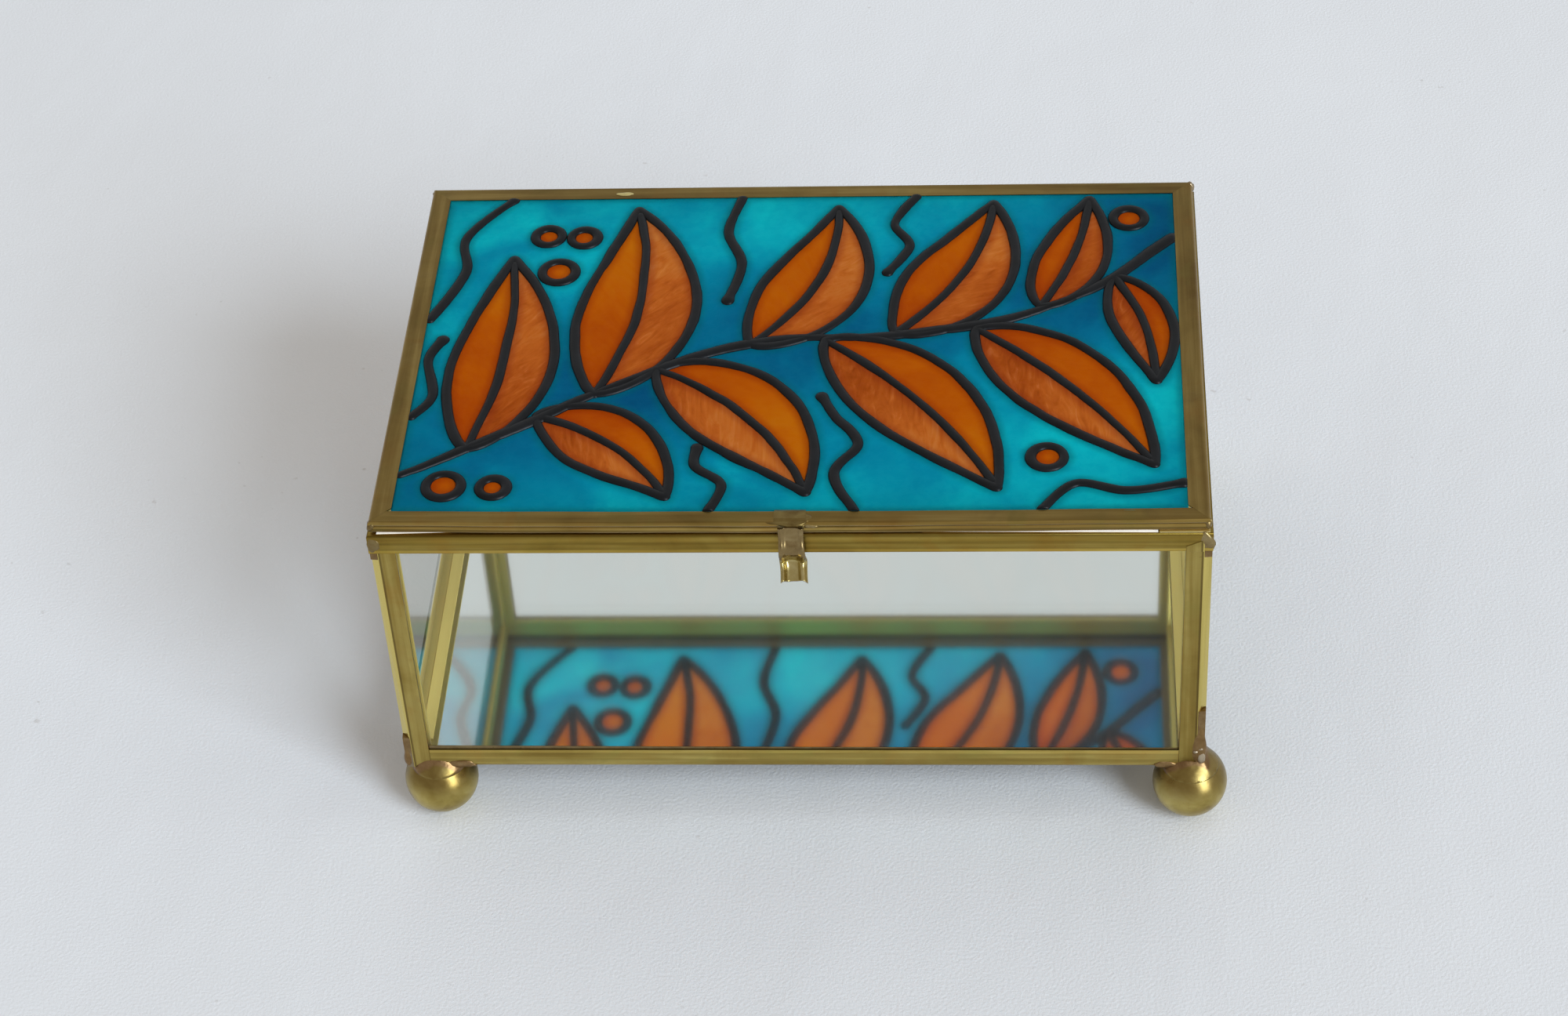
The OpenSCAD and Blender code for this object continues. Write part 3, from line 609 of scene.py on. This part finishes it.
def bead(points, factor, closed, blob0, blob1, seed, z0, lift=0.0):
    """One squeezed line of outliner: a rounded ridge of uneven width with swollen ends."""
    if closed:
        points = np.concatenate([points, points[:1]])
    p, q = resample(points, 0.45)
    if closed:
        p, q = p[:-1], q[:-1]
        total = q[-1] + q[1]
        turn = np.sin(q / total * 2 * np.pi + seed)
        rad = RELIEF_W / 2 * factor * (1 + 0.08 * turn)
        wob = np.zeros_like(q)
    else:
        rad = RELIEF_W / 2 * factor * (1 + 0.09 * wave(q, seed, 26) + 0.03 * wave(q, seed + 7, 5))
        wob = 0.09 * wave(q, seed + 3, 14)
        fade = np.clip(np.minimum(q, q[-1] - q) / 3, 0, 1)
        wob = wob * fade
        for at, blob in ((0.0, blob0), (q[-1], blob1)):
            rad = rad * (1 + (blob - 1) * np.exp(-((q - at) / 1.1) ** 2))
    d = np.gradient(p, axis=0) if not closed else np.roll(p, -1, 0) - np.roll(p, 1, 0)
    d /= np.linalg.norm(d, axis=1, keepdims=True)
    nrm = np.stack([-d[:, 1], d[:, 0]], 1)
    p = p + nrm * wob[:, None]
    k = 9
    ang = np.linspace(0, np.pi, k)
    rings, verts = [], []
    n = len(p)
    if closed:
        items = [(p[i], nrm[i], rad[i], 1.0) for i in range(n)]
    else:
        items = []
        for i in range(4):  # rounded start
            a = (i + 0.35) / 4.35 * np.pi / 2
            items.append((p[0] - d[0] * rad[0] * math.cos(a), nrm[0], rad[0] * math.sin(a), math.sin(a)))
        items += [(p[i], nrm[i], rad[i], 1.0) for i in range(n)]
        for i in range(4):
            a = (4 - i - 0.65) / 4.35 * np.pi / 2
            items.append((p[-1] + d[-1] * rad[-1] * math.cos(a), nrm[-1], rad[-1] * math.sin(a), math.sin(a)))
    for c, nn, r, hs in items:
        h = (RELIEF_H * (0.82 + 0.22 * (r / (RELIEF_W / 2))) if hs == 1.0 else RELIEF_H * 1.04 * hs) + lift
        ring = []
        for a in ang:
            ring.append((c[0] + nn[0] * r * math.cos(a), c[1] + nn[1] * r * math.cos(a), z0 + h * math.sin(a) ** 0.85))
        ring.append((c[0] - nn[0] * r * 0.94, c[1] - nn[1] * r * 0.94, z0 - 0.054))
        ring.append((c[0] + nn[0] * r * 0.94, c[1] + nn[1] * r * 0.94, z0 - 0.054))
        rings.append(ring)
    kk = k + 2
    for r in rings:
        verts += r
    faces = []
    m = len(rings)
    for i in range(m if closed else m - 1):
        j = (i + 1) % m
        for a in range(kk):
            b = (a + 1) % kk
            faces.append((i * kk + a, j * kk + a, j * kk + b, i * kk + b))
    if not closed:
        faces.append(tuple(range(kk)))
        faces.append(tuple((m - 1) * kk + a for a in reversed(range(kk))))
    return verts, faces


def bow(x):
    """The lid's front came bends outwards towards its middle."""
    return BOW * (1 - (x / 74.5) ** 2)


def make_outline():
    V, F = [], []
    for i, (p, w, closed, b0, b1) in enumerate(STROKES):
        v, f = bead(p, w, closed, b0, b1, 100 + i * 11, Z_GLASS + 0.06)
        n = len(V)
        V += v
        F += [tuple(a + n for a in face) for face in f]
    V = np.array(V)
    V[:, 0] = np.clip(V[:, 0], -OPEN_X + 0.03, OPEN_X - 0.03)
    V[:, 1] = np.clip(V[:, 1], -OPEN_YF - bow(V[:, 0]) + 0.03, OPEN_Y - 0.03)
    ob = add_mesh("lid_outline_beads", V * MM, F, M_OUT)
    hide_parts("lid_outline")
    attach(ob, "lid")


def in_polygon(X, Y, p):
    c = np.zeros(X.shape, bool)
    for i in range(len(p)):
        x1, y1 = p[i]
        x2, y2 = p[(i + 1) % len(p)]
        if y1 == y2:
            continue
        c ^= ((y1 > Y) != (y2 > Y)) & (X < (x2 - x1) * (Y - y1) / (y2 - y1) + x1)
    return c


def make_paint():
    g = 0.4
    low = -OPEN_YF - BOW - 0.1
    nx, ny = int(round(2 * OPEN_X / g)), int(round((OPEN_Y - low) / g))
    xs, ys = np.linspace(-OPEN_X + 0.02, OPEN_X - 0.02, nx + 1), np.linspace(low, OPEN_Y - 0.02, ny + 1)
    X, Y = np.meshgrid(xs, ys)
    D = np.full(X.shape, 30.0)
    DB = np.full(X.shape, 60.0)
    for si, (p, w, closed, _, _) in enumerate(STROKES):
        if closed:
            p = np.concatenate([p, p[:1]])
        p, _ = resample(p, 2.0)
        is_branch = si == 3 * len(LEAVES)
        for a, b in zip(p[:-1], p[1:]):
            reach = 60 if is_branch else 9
            i0, i1 = np.searchsorted(ys, [min(a[1], b[1]) - reach, max(a[1], b[1]) + reach])
            j0, j1 = np.searchsorted(xs, [min(a[0], b[0]) - reach, max(a[0], b[0]) + reach])
            d = b - a
            xx, yy = X[i0:i1, j0:j1] - a[0], Y[i0:i1, j0:j1] - a[1]
            t = np.clip((xx * d[0] + yy * d[1]) / max(d @ d, 1e-9), 0, 1)
            dist = np.hypot(xx - t * d[0], yy - t * d[1])
            D[i0:i1, j0:j1] = np.minimum(D[i0:i1, j0:j1], dist)
            if is_branch:
                DB[i0:i1, j0:j1] = np.minimum(DB[i0:i1, j0:j1], dist)
    edge = np.maximum(np.minimum(OPEN_X - np.abs(X), np.minimum(OPEN_Y - Y, Y + OPEN_YF + bow(X))), -0.4) + 0.9
    D = np.minimum(D, edge)
    # cells: 0 teal, 1 amber, 2 copper
    xc, yc = (xs[1:] + xs[:-1]) / 2, (ys[1:] + ys[:-1]) / 2
    XC, YC = np.meshgrid(xc, yc)
    cell = np.zeros(XC.shape, int)
    flow = np.stack([X, Y, np.zeros_like(X)], -1)
    tone = np.clip((DB - 6) / 26, 0, 1)
    # two slow waves so that the ground isn't even
    tone = np.clip(tone * 0.85 + 0.12 * np.sin(X / 17 + 1.3 * np.sin(Y / 23)) + 0.08 * np.sin(Y / 11 + X / 31), 0, 1)
    for k, l in enumerate(LEAVES):
        whole = np.concatenate([leaf_edge(l, 1), leaf_edge(l, -1)[::-1]])
        upper = np.concatenate([leaf_edge(l, 1), leaf_mid(l, np.linspace(1, 0, 30))])
        inside_c = in_polygon(XC, YC, whole)
        cell[inside_c] = 2
        cell[in_polygon(XC, YC, upper)] = 1
        ax = np.array(l[2:4], float) - np.array(l[:2], float)
        length = np.linalg.norm(ax)
        ax /= length
        u = (X - l[0]) * ax[0] + (Y - l[1]) * ax[1]
        v = -(X - l[0]) * ax[1] + (Y - l[1]) * ax[0]
        near = in_polygon(X, Y, whole) | (D < 0.0)
        # slanted brush marks that leave the midrib
        s = np.where(v - l[4] * 2 * u * (1 - u / length) > 0, 1.0, -1.0)
        fu = u * 0.8 + np.abs(v) * 0.6
        fv = v * 0.8 - s * u * 0.6
        flow[near] = np.stack([fu + 90 * k, fv + 37 * k, np.full_like(u, k * 3.7)], -1)[near]
        rng = np.random.default_rng(40 + k)
        tone[near] = np.clip(u / length * 0.8 + 0.1 + rng.uniform(-0.18, 0.18), 0, 1)[near]
    for k, b in enumerate(BERRIES):
        cell[np.hypot(XC - b[0], YC - b[1]) < b[2]] = 1
        near = np.hypot(X - b[0], Y - b[1]) < b[2]
        tone[near] = np.clip(0.55 + 0.12 * (X - b[0]), 0, 1)[near]
    # no two cells of one paint meet at a corner only
    for _ in range(12):
        for code in (1, 2, 0):
            c = cell == code
            a, b, d, e = c[:-1, :-1], c[:-1, 1:], c[1:, :-1], c[1:, 1:]
            i, j = np.nonzero(a & e & ~b & ~d)
            cell[i, j + 1] = code
            i, j = np.nonzero(b & d & ~a & ~e)
            cell[i, j] = code
    rng = np.random.default_rng(5)
    bump = np.zeros_like(X)
    for i in range(14):
        a, lam = rng.uniform(0, 6.28), rng.uniform(5, 16)
        bump += np.sin((X * math.cos(a) + Y * math.sin(a)) * 2 * np.pi / lam + rng.uniform(0, 6.28)) * lam / 16
    Z = Z_GLASS + 0.1 + 0.006 * bump + 0.14 * np.exp(-np.maximum(D - 0.6, 0) / 0.7)
    for name, code, mat, node, slot in (
        ("paint_teal_skin", 0, M_TEAL, "lid_paint_teal", "paint_teal"),
        ("paint_amber_skin", 1, M_AMBER, "lid_paint_amber", "paint_amber"),
        ("paint_copper_skin", 2, M_COPPER, "lid_paint_copper", "paint_copper"),
    ):
        use = cell == code
        ii, jj = np.nonzero(use)
        top = np.stack([ii * (nx + 1) + jj, ii * (nx + 1) + jj + 1, (ii + 1) * (nx + 1) + jj + 1, (ii + 1) * (nx + 1) + jj], 1)
        keep, inv = np.unique(top, return_inverse=True)
        inv = inv.reshape(top.shape)
        n = len(keep)
        tv = np.stack([X.ravel()[keep], Y.ravel()[keep], Z.ravel()[keep]], 1)
        bv = tv.copy()
        bv[:, 2] = Z_GLASS + 0.03
        faces = [tuple(f) for f in inv] + [tuple(f[::-1] + n) for f in inv]
        # sides, wherever an edge belongs to one cell only
        e = np.concatenate([inv[:, [0, 1]], inv[:, [1, 2]], inv[:, [2, 3]], inv[:, [3, 0]]])
        key = np.sort(e, 1)
        _, first, count = np.unique(key[:, 0] * np.int64(n) + key[:, 1], return_index=True, return_counts=True)
        for a, b in e[first[count == 1]]:
            faces.append((b, a, a + n, b + n))
        ob = add_mesh(name, np.concatenate([tv, bv]) * MM, faces, mat)
        me = ob.data
        for attr, src in (("pool", D), ("tone", tone)):
            at = me.attributes.new(attr, "FLOAT", "POINT")
            at.data.foreach_set("value", np.tile(src.ravel()[keep], 2).astype(np.float32))
        at = me.attributes.new("flow", "FLOAT_VECTOR", "POINT")
        fl = flow.reshape(-1, 3)[keep] * MM
        at.data.foreach_set("vector", np.concatenate([fl, fl]).astype(np.float32).ravel())
        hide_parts(node)
        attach(ob, "lid")


def make_front_came():
    """The lid's front came with its slight bow, mitred at both ends."""
    t, w, lip, slot, fl, r, r1 = 2.6, 3.2, 2.35, 1.75, 0.3, 0.7, 0.55
    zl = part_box("lid_came_rear")[0].z / MM
    prof = []
    for i in range(7):
        a = math.pi / 2 + math.pi / 2 * i / 6
        prof.append((r1 + r1 * math.cos(a), zl + t - r1 + r1 * math.sin(a)))
    # a drawn groove along the face
    prof += [(0.03, zl + 1.9), (0.12, zl + 1.8), (0.22, zl + 1.68), (0.24, zl + 1.56), (0.17, zl + 1.44), (0.06, zl + 1.34), (0.0, zl + 1.24)]
    for i in range(7):
        a = math.pi + math.pi / 2 * i / 6
        prof.append((r + r * math.cos(a), zl + r + r * math.sin(a)))
    prof += [(lip - 0.08, zl), (lip, zl + 0.08), (lip, zl + fl), (slot, zl + fl), (slot, zl + t - fl),
             (w, zl + t - fl), (w, zl + t - 0.1), (w - 0.1, zl + t)]
    k, n = len(prof), 120
    V, F = [], []
    for i in range(n + 1):
        q = 2 * i / n - 1
        for u, z in prof:
            x = q * (74.5 - u)
            wob = 0.05 * math.sin(x / 9.0 + 0.6) * math.sin(x / 23.0) + 0.03 * math.sin(x / 3.7)
            lift = 0.03 * math.sin(x / 7.0 + 2.0)
            fade = min(1.0, (1 - abs(q)) * 8)
            V.append((x, -48.7 + u - bow(x) + wob * fade, z + (lift * fade if z > zl + 2.45 else 0)))
    for i in range(n):
        for j in range(k):
            a, b = i * k + j, i * k + (j + 1) % k
            F.append((a, a + k, b + k, b))
    F.append(tuple(range(k)))
    F.append(tuple(n * k + j for j in range(k - 1, -1, -1)))
    ob = add_mesh("lid_came_front_bowed", np.array(V) * MM, F, M_LX)
    e = ob.modifiers.new("edges", "EDGE_SPLIT")
    e.split_angle = math.radians(40)
    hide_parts("lid_came_front")
    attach(ob, "lid")


make_outline()
make_paint()
make_front_came()

# ---------------------------------------------------------------- clasp

def make_clasp():
    cx, w, t = 0.85, 4.6, 0.42
    y0, z0 = -49.0, 73.7
    path = catmull([
        (y0 - 0.55, z0 + 0.1), (y0 - 0.72, z0 - 1.1), (y0 - 1.1, z0 - 2.5), (y0 - 1.7, z0 - 3.9), (y0 - 1.75, z0 - 5.3),
        (y0 - 0.95, z0 - 6.7), (y0 - 0.65, z0 - 7.6), (y0 - 1.25, z0 - 8.6), (y0 - 2.5, z0 - 9.5), (y0 - 3.7, z0 - 10.2)], 5)
    p, q = resample(path, 0.28)
    total = q[-1]
    d = np.gradient(p, axis=0)
    d /= np.linalg.norm(d, axis=1, keepdims=True)
    nrm = np.stack([d[:, 1], -d[:, 0]], 1)   # outwards, away from the box
    nrm *= np.where(nrm[:, :1] > 0, -1, 1)
    nu = 30
    us = np.linspace(-1, 1, nu + 1)
    V, F = [], []
    for side_ in (1, -1):
        for (yy, zz), (ny_, nz_), s in zip(p, nrm, q / total):
            g = min(max((s - 0.5) / 0.2, 0), 1)
            g = g * g * (3 - 2 * g)
            dish = 0.5 + 0.4 * g      # rolled up at both long edges, most at the lip
            at_, wide_ = 0.8 - 0.04 * g, 0.24
            width = 1.0 + 0.07 * g - 0.03 * math.sin(s * 9)
            for u in us:
                lift = dish * math.exp(-((abs(u) - at_ - (0.06 * g if u < 0 else -0.1 * g)) / (wide_ + (0.07 * g if u > 0 else 0))) ** 2)
                off = side_ * t / 2 + lift
                # the end has a hollow edge with two points
                drop = 0.0
                if s > 0.9:
                    drop = (s - 0.9) / 0.1 * 0.55 * (abs(u) ** 2 - 0.35)
                k = (yy + ny_ * off, zz + nz_ * off)
                i = min(int(s * (len(p) - 1)), len(p) - 1)
                V.append((cx + 0.5 * s * s * 0.8 + u * w / 2 * width, k[0] + d[i][0] * drop, k[1] + d[i][1] * drop))
    n, m = len(p), nu + 1
    half = n * m
    for i in range(n - 1):
        for j in range(nu):
            a = i * m + j
            F.append((a, a + 1, a + m + 1, a + m))
            F.append((half + a, half + a + m, half + a + m + 1, half + a + 1))
    for i in range(n - 1):
        a, b = i * m, (i + 1) * m
        F.append((a, b, half + b, half + a))
        a, b = i * m + nu, (i + 1) * m + nu
        F.append((a, half + a, half + b, b))
    for j in range(nu):
        F.append((j, half + j, half + j + 1, j + 1))
        a = (n - 1) * m + j
        F.append((a, a + 1, half + a + 1, half + a))
    ob = add_mesh("clasp_strip", np.array(V) * MM, F, M_CLASP)
    b = ob.modifiers.new("bevel", "BEVEL")
    b.width = 0.1 * MM
    b.segments = 2
    b.limit_method = "ANGLE"
    b.angle_limit = math.radians(50)
    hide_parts("clasp_spring")
    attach(ob, "clasp")


make_clasp()

# ---------------------------------------------------------------- solder

def lump(name, body, centre, size, seed, mat=None, rough=0.18, taper=0.0):
    """A small frozen drop of solder; with taper it is narrower at the top."""
    rng = np.random.default_rng(seed)
    nu, nv = 22, 12
    ph = rng.uniform(0, 6.28, 6)

    def point(a, b):
        x, y, z = math.cos(a) * math.cos(b), math.sin(a) * math.cos(b), math.sin(b)
        k = 1 + rough * (math.sin(2.1 * x + 1.7 * y + ph[0]) * math.sin(2.3 * z + ph[1]) + 0.5 * math.sin(4.7 * y + ph[2]) * math.sin(4.1 * x + ph[3]) + 0.3 * math.sin(7 * z + 5 * x + ph[4]))
        side = 1 - taper * z
        return (centre[0] + x * k * size[0] * side, centre[1] + y * k * size[1], centre[2] + z * k * size[2])

    V = [point(0, -math.pi / 2)]
    for i in range(1, nv):
        for j in range(nu):
            V.append(point(2 * math.pi * j / nu, -math.pi / 2 + math.pi * i / nv))
    V.append(point(0, math.pi / 2))
    F = []
    for j in range(nu):
        F.append((0, 1 + (j + 1) % nu, 1 + j))
        F.append((len(V) - 1, len(V) - 1 - nu + j, len(V) - 1 - nu + (j + 1) % nu))
    for i in range(nv - 2):
        for j in range(nu):
            a, b = 1 + i * nu + j, 1 + i * nu + (j + 1) % nu
            F.append((a, b, b + nu, a + nu))
    ob = add_mesh(name, np.array(V) * MM, F, mat or M_SOLDER)
    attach(ob, body)
    return ob


def seat(name, fx, fy, seed, up_):
    """Top of a ball foot outside the frame, drawn up into the solder against the frame's faces."""
    rng = np.random.default_rng(seed)
    ph = rng.uniform(0, 6.28, 4)
    nr, nu, r0 = 16, 84, 5.35
    sx, sy = math.copysign(1, fx), math.copysign(1, fy)
    V, F, stain = [], [], []
    for k in range(nr):
        r = r0 * (1 - k / nr)
        for j in range(nu):
            a = 2 * math.pi * j / nu
            x, y = fx + r * math.cos(a), fy + r * math.sin(a)
            out = max(sx * x - 75, sy * y - 49.2)
            z = 6.8 + math.sqrt(6.95 ** 2 - r * r)
            d = max(out, 0)
            wob = 0.12 * math.sin(3 * a + ph[0]) + 0.08 * math.sin(5 * a + ph[1])
            if k:
                z += (up_ + wob) * max(0.0, 1 - d / 2.2) ** 1.6 * (k / nr) ** 0.3 + 0.02 * math.sin(4 * x + ph[2]) * math.sin(4 * y + ph[3])
            if out < -0.45:
                z = min(z, 12.05)
            V.append((x, y, min(z, 13.3 + up_)))
            stain.append(math.exp(-(d / 1.0) ** 2) + wob)
    for j in range(nu):
        a = 2 * math.pi * j / nu
        V.append((fx + 5.2 * math.cos(a), fy + 5.2 * math.sin(a), 11.0))
        stain.append(0)
    for k in range(nr - 1):
        for j in range(nu):
            a, b = k * nu + j, k * nu + (j + 1) % nu
            F.append((a, b, b + nu, a + nu))
    F.append(tuple((nr - 1) * nu + j for j in range(nu)))
    for j in range(nu):
        a, b = j, (j + 1) % nu
        F.append((a, nr * nu + a, nr * nu + b, b))
    F.append(tuple(nr * nu + j for j in range(nu - 1, -1, -1)))
    ob = add_mesh(name, np.array(V) * MM, F, M_SEAT)
    at = ob.data.attributes.new("stain", "FLOAT", "POINT")
    at.data.foreach_set("value", np.array(stain, np.float32))
    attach(ob, "box")


for i, (x, y, up) in enumerate([(-69.2, -46.3, 1.2), (72.5, -47.1, 0.7), (-71.4, 46.6, 0.6), (71.0, 46.8, 0.6)]):
    seat(f"foot_seat_{i}", x, y, 60 + i, up)

# solder lumps: on the front corners of the rim, round the root of the clasp, on the base beside the feet
lump("rim_blob_left", "box", (-74.1, -48.75, 69.4), (1.25, 0.75, 2.0), 3, mat=M_SOLDER_DARK)
lump("rim_blob_right", "box", (74.0, -48.95, 69.5), (1.3, 0.5, 2.1), 4, mat=M_SOLDER_OLIVE)
lump("lid_blob_left", "lid", (-74.0, -48.15, 73.2), (0.75, 0.75, 1.1), 12, mat=M_SOLDER_DARK)
lump("lid_blob_right", "lid", (74.0, -48.15, 73.2), (0.75, 0.75, 1.05), 13, mat=M_SOLDER_OLIVE)
lump("clasp_smear", "lid", (0.6, -47.9, 74.44), (4.4, 1.7, 0.13), 6, mat=M_SOLDER_LID)
lump("clasp_drop", "lid", (0.6, -49.05, 73.75), (2.6, 0.5, 0.8), 7, mat=M_SOLDER_LID)
lump("clasp_run_right", "lid", (4.2, -48.95, 73.65), (1.5, 0.4, 0.5), 15, mat=M_SOLDER_OLIVE)
lump("base_run_left", "box", (-64.4, -49.1, 12.95), (2.6, 0.5, 0.9), 8, mat=M_SEAT_PLAIN)
lump("base_run_right", "box", (67.8, -49.1, 12.9), (2.1, 0.5, 0.85), 9, mat=M_SEAT_PLAIN)
lump("post_run_right", "box", (73.9, -48.85, 18.2), (1.35, 0.55, 5.6), 16, mat=M_SOLDER_BROWN, rough=0.1, taper=0.5)
lump("post_run_left", "box", (-74.3, -48.8, 14.8), (0.9, 0.5, 2.6), 17, mat=M_SOLDER_BROWN, rough=0.1, taper=0.4)
lump("post_patch_right", "box", (74.35, -49.05, 14.6), (0.75, 0.5, 1.7), 18, mat=M_SOLDER_PALE, rough=0.1)
lump("post_bead_right", "box", (73.2, -49.3, 16.5), (0.45, 0.3, 0.3), 10, mat=M_SOLDER_PALE)
lump("post_bead_right_2", "box", (74.2, -49.25, 17.2), (0.4, 0.3, 0.28), 14, mat=M_SOLDER_PALE)
lump("lid_blob_rear_right", "lid", (74.2, 48.2, 73.4), (0.75, 0.8, 1.05), 19, mat=M_SOLDER)
lump("lid_blob_rear_left", "lid", (-74.1, 48.2, 73.3), (0.6, 0.7, 0.95), 20, mat=M_SOLDER_DARK)
lump("worn_bead", "lid", (-36.3, 46.3, 74.48), (1.7, 0.55, 0.2), 11, mat=M_BRIGHT)


def slab(name, body, outline, y0, y1, mat, bevel=0.1):
    """A small plate: outline in x and z, between two y planes."""
    n = len(outline)
    V = [(x, y0, z) for x, z in outline] + [(x, y1, z) for x, z in outline]
    F = [tuple(range(n)), tuple(range(2 * n - 1, n - 1, -1))]
    F += [(j, j + n, (j + 1) % n + n, (j + 1) % n) for j in range(n)]
    ob = add_mesh(name, np.array(V) * MM, F, mat, False)
    b = ob.modifiers.new("bevel", "BEVEL")
    b.width = bevel * MM
    b.segments = 2
    b.limit_method = "ANGLE"
    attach(ob, body)


# the right front post runs up over the end of the rim came
slab("post_end_right", "box", [(70.25, 67.3), (73.5, 67.3), (73.5, 70.1), (70.25, 68.6)], -49.34, -49.0, M_Z)
# dirt and painted shade: a dark strip along the upper edge of the front base came, against the pane
slab("base_dirt", "box", [(-70.1, 16.7), (70.1, 16.7), (70.1, 17.05), (20, 17.15), (-30, 17.35), (-70.1, 17.6)], -48.84, -48.7, M_DIRT_AND_SHADE, 0.03)
# painted light: a bright brass strip fills the gap between lid and rim near the right corner, so that the gap doesn't
# render black
slab("rim_gap_painted_light", "box", [(65.5, 71.55), (74.4, 71.55), (74.4, 71.85), (65.5, 71.85)], -48.95, -47.3, M_BRIGHT)


def pale_line():
    """Thin white line on top of the front rim near both corners, where the edge of the pane shows. It is given a
    painted glow (emission), so that it shows bright in the shade of the lid.
    """
    m = Mat("pane_edge_painted_glow")
    n = m.noise(m.coords((400, 400, 400)), 1.0, 3, 0.6)
    col = m.ramp(n, [(0.3, (0.8, 0.79, 0.76)), (0.7, (0.9, 0.89, 0.86))])
    # painted glow: the line emits light in its own colour
    mat = m.done(m.principled(Base_Color=col, Roughness=0.3, Emission_Color=col, Emission_Strength=0.3))
    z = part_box("rim_came_front")[1].z / MM
    V, F = [], []
    for x0, x1, a0, a1 in ((-73.2, -60.0, -48.6, -48.15), (65.3, 24.0, -48.85, -48.45)):
        n0, n = len(V), 24
        for i in range(n + 1):
            t = i / n
            x, y = x0 + (x1 - x0) * t, a0 + (a1 - a0) * t
            for yy, zz in ((y, z - 0.05), (y, z + 0.05), (y + 0.6, z + 0.05), (y + 0.6, z - 0.05)):
                V.append((x, yy, zz))
        for i in range(n):
            for j in range(4):
                a, b = n0 + i * 4 + j, n0 + i * 4 + (j + 1) % 4
                F.append((a, b, b + 4, a + 4) if x1 > x0 else (a, a + 4, b + 4, b))
        F.append((n0, n0 + 3, n0 + 2, n0 + 1) if x1 > x0 else (n0, n0 + 1, n0 + 2, n0 + 3))
        m0 = n0 + n * 4
        F.append((m0, m0 + 1, m0 + 2, m0 + 3) if x1 > x0 else (m0, m0 + 3, m0 + 2, m0 + 1))
    ob = add_mesh("pane_edge_line", np.array(V) * MM, F, mat, False)
    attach(ob, "box")


pale_line()

# ---------------------------------------------------------------- stage

def make_stage():
    m = Mat("cloth")
    wide = m.noise(m.coords((6, 6, 6)), 1.0, 4, 0.55)
    weave = m.noise(m.coords((1600, 1600, 1600)), 1.0, 2, 0.5)
    folds = m.noise(m.coords((22, 9, 1)), 1.0, 3, 0.5, 0.4)
    lint = m.noise(m.coords((420, 420, 420)), 1.0, 2, 0.5)
    where = m.noise(m.coords((35, 35, 35), shift=(9, 4, 0)), 1.0, 2, 0.5)
    col = m.ramp(wide, [(0.3, (0.77, 0.775, 0.785)), (0.7, (0.81, 0.815, 0.825))])
    speck = m.math("MULTIPLY", m.remap(lint, 0.7, 0.76, 0.0, 0.5), m.remap(where, 0.55, 0.65, 0.0, 1.0))
    col = m.mix(speck, col, (0.5, 0.47, 0.44))
    nrm = m.bump(weave, 0.00016, 0.6, m.bump(folds, 0.002, 0.3, m.bump(wide, 0.004, 0.3)))
    mat = m.done(m.principled(Base_Color=col, Roughness=0.9, Specular_IOR_Level=0.2, Normal=nrm))
    s = 3.0
    ob = add_mesh("floor", [(-s, -s, 0), (s, -s, 0), (s, s, 0), (-s, s, 0)], [(0, 1, 2, 3)], mat, False)

    w = bpy.data.worlds.new("studio")
    bpy.context.scene.world = w
    w.use_nodes = True
    t = w.node_tree
    t.nodes.clear()
    out = t.nodes.new("ShaderNodeOutputWorld")
    bg = t.nodes.new("ShaderNodeBackground")
    tc = t.nodes.new("ShaderNodeTexCoord")
    sep = t.nodes.new("ShaderNodeSeparateXYZ")
    t.links.new(tc.outputs["Generated"], sep.inputs[0])

    def rng(sock, a, b, c, d):
        n = t.nodes.new("ShaderNodeMapRange")
        n.interpolation_type = "SMOOTHSTEP"
        t.links.new(sock, n.inputs["Value"])
        for k, v in (("From Min", a), ("From Max", b), ("To Min", c), ("To Max", d)):
            n.inputs[k].default_value = v
        return n.outputs["Result"]

    def mul(a, b):
        n = t.nodes.new("ShaderNodeMath")
        n.operation = "MULTIPLY"
        t.links.new(a, n.inputs[0])
        t.links.new(b, n.inputs[1])
        return n.outputs[0]

    # a pale wall behind, a dimmer and warmer room elsewhere
    wall = mul(rng(sep.outputs[1], 0.25, 0.6, 0.0, 1.0), rng(sep.outputs[2], 0.98, 0.8, 0.0, 1.0))
    mixn = t.nodes.new("ShaderNodeMix")
    mixn.data_type = "RGBA"
    t.links.new(wall, mixn.inputs[0])
    mixn.inputs[6].default_value = (0.50, 0.47, 0.435, 1)
    mixn.inputs[7].default_value = (0.66, 0.665, 0.67, 1)
    t.links.new(mixn.outputs[2], bg.inputs["Color"])
    bg.inputs["Strength"].default_value = 1.0
    t.links.new(bg.outputs[0], out.inputs[0])

    sun = bpy.data.lights.new("window", "SUN")
    sun.energy = 2.1
    sun.angle = math.radians(26)
    sun.color = (0.75, 0.86, 0.98)
    so = bpy.data.objects.new("window", sun)
    bpy.context.scene.collection.objects.link(so)
    so.rotation_euler = Vector((0.595, -0.564, 0.572)).to_track_quat("Z", "Y").to_euler()
    # the lower part of the window, near the height of the table
    low = bpy.data.lights.new("window_low", "SUN")
    low.energy = 1.3
    low.angle = math.radians(24)
    low.color = (0.75, 0.86, 0.98)
    lo = bpy.data.objects.new("window_low", low)
    bpy.context.scene.collection.objects.link(lo)
    lo.rotation_euler = Vector((0.69, -0.69, 0.2)).to_track_quat("Z", "Y").to_euler()


make_stage()

sc = bpy.context.scene
sc.view_settings.view_transform = "Standard"
sc.cycles.max_bounces = 14
sc.cycles.transparent_max_bounces = 40
sc.cycles.glossy_bounces = 8
sc.cycles.diffuse_bounces = 5
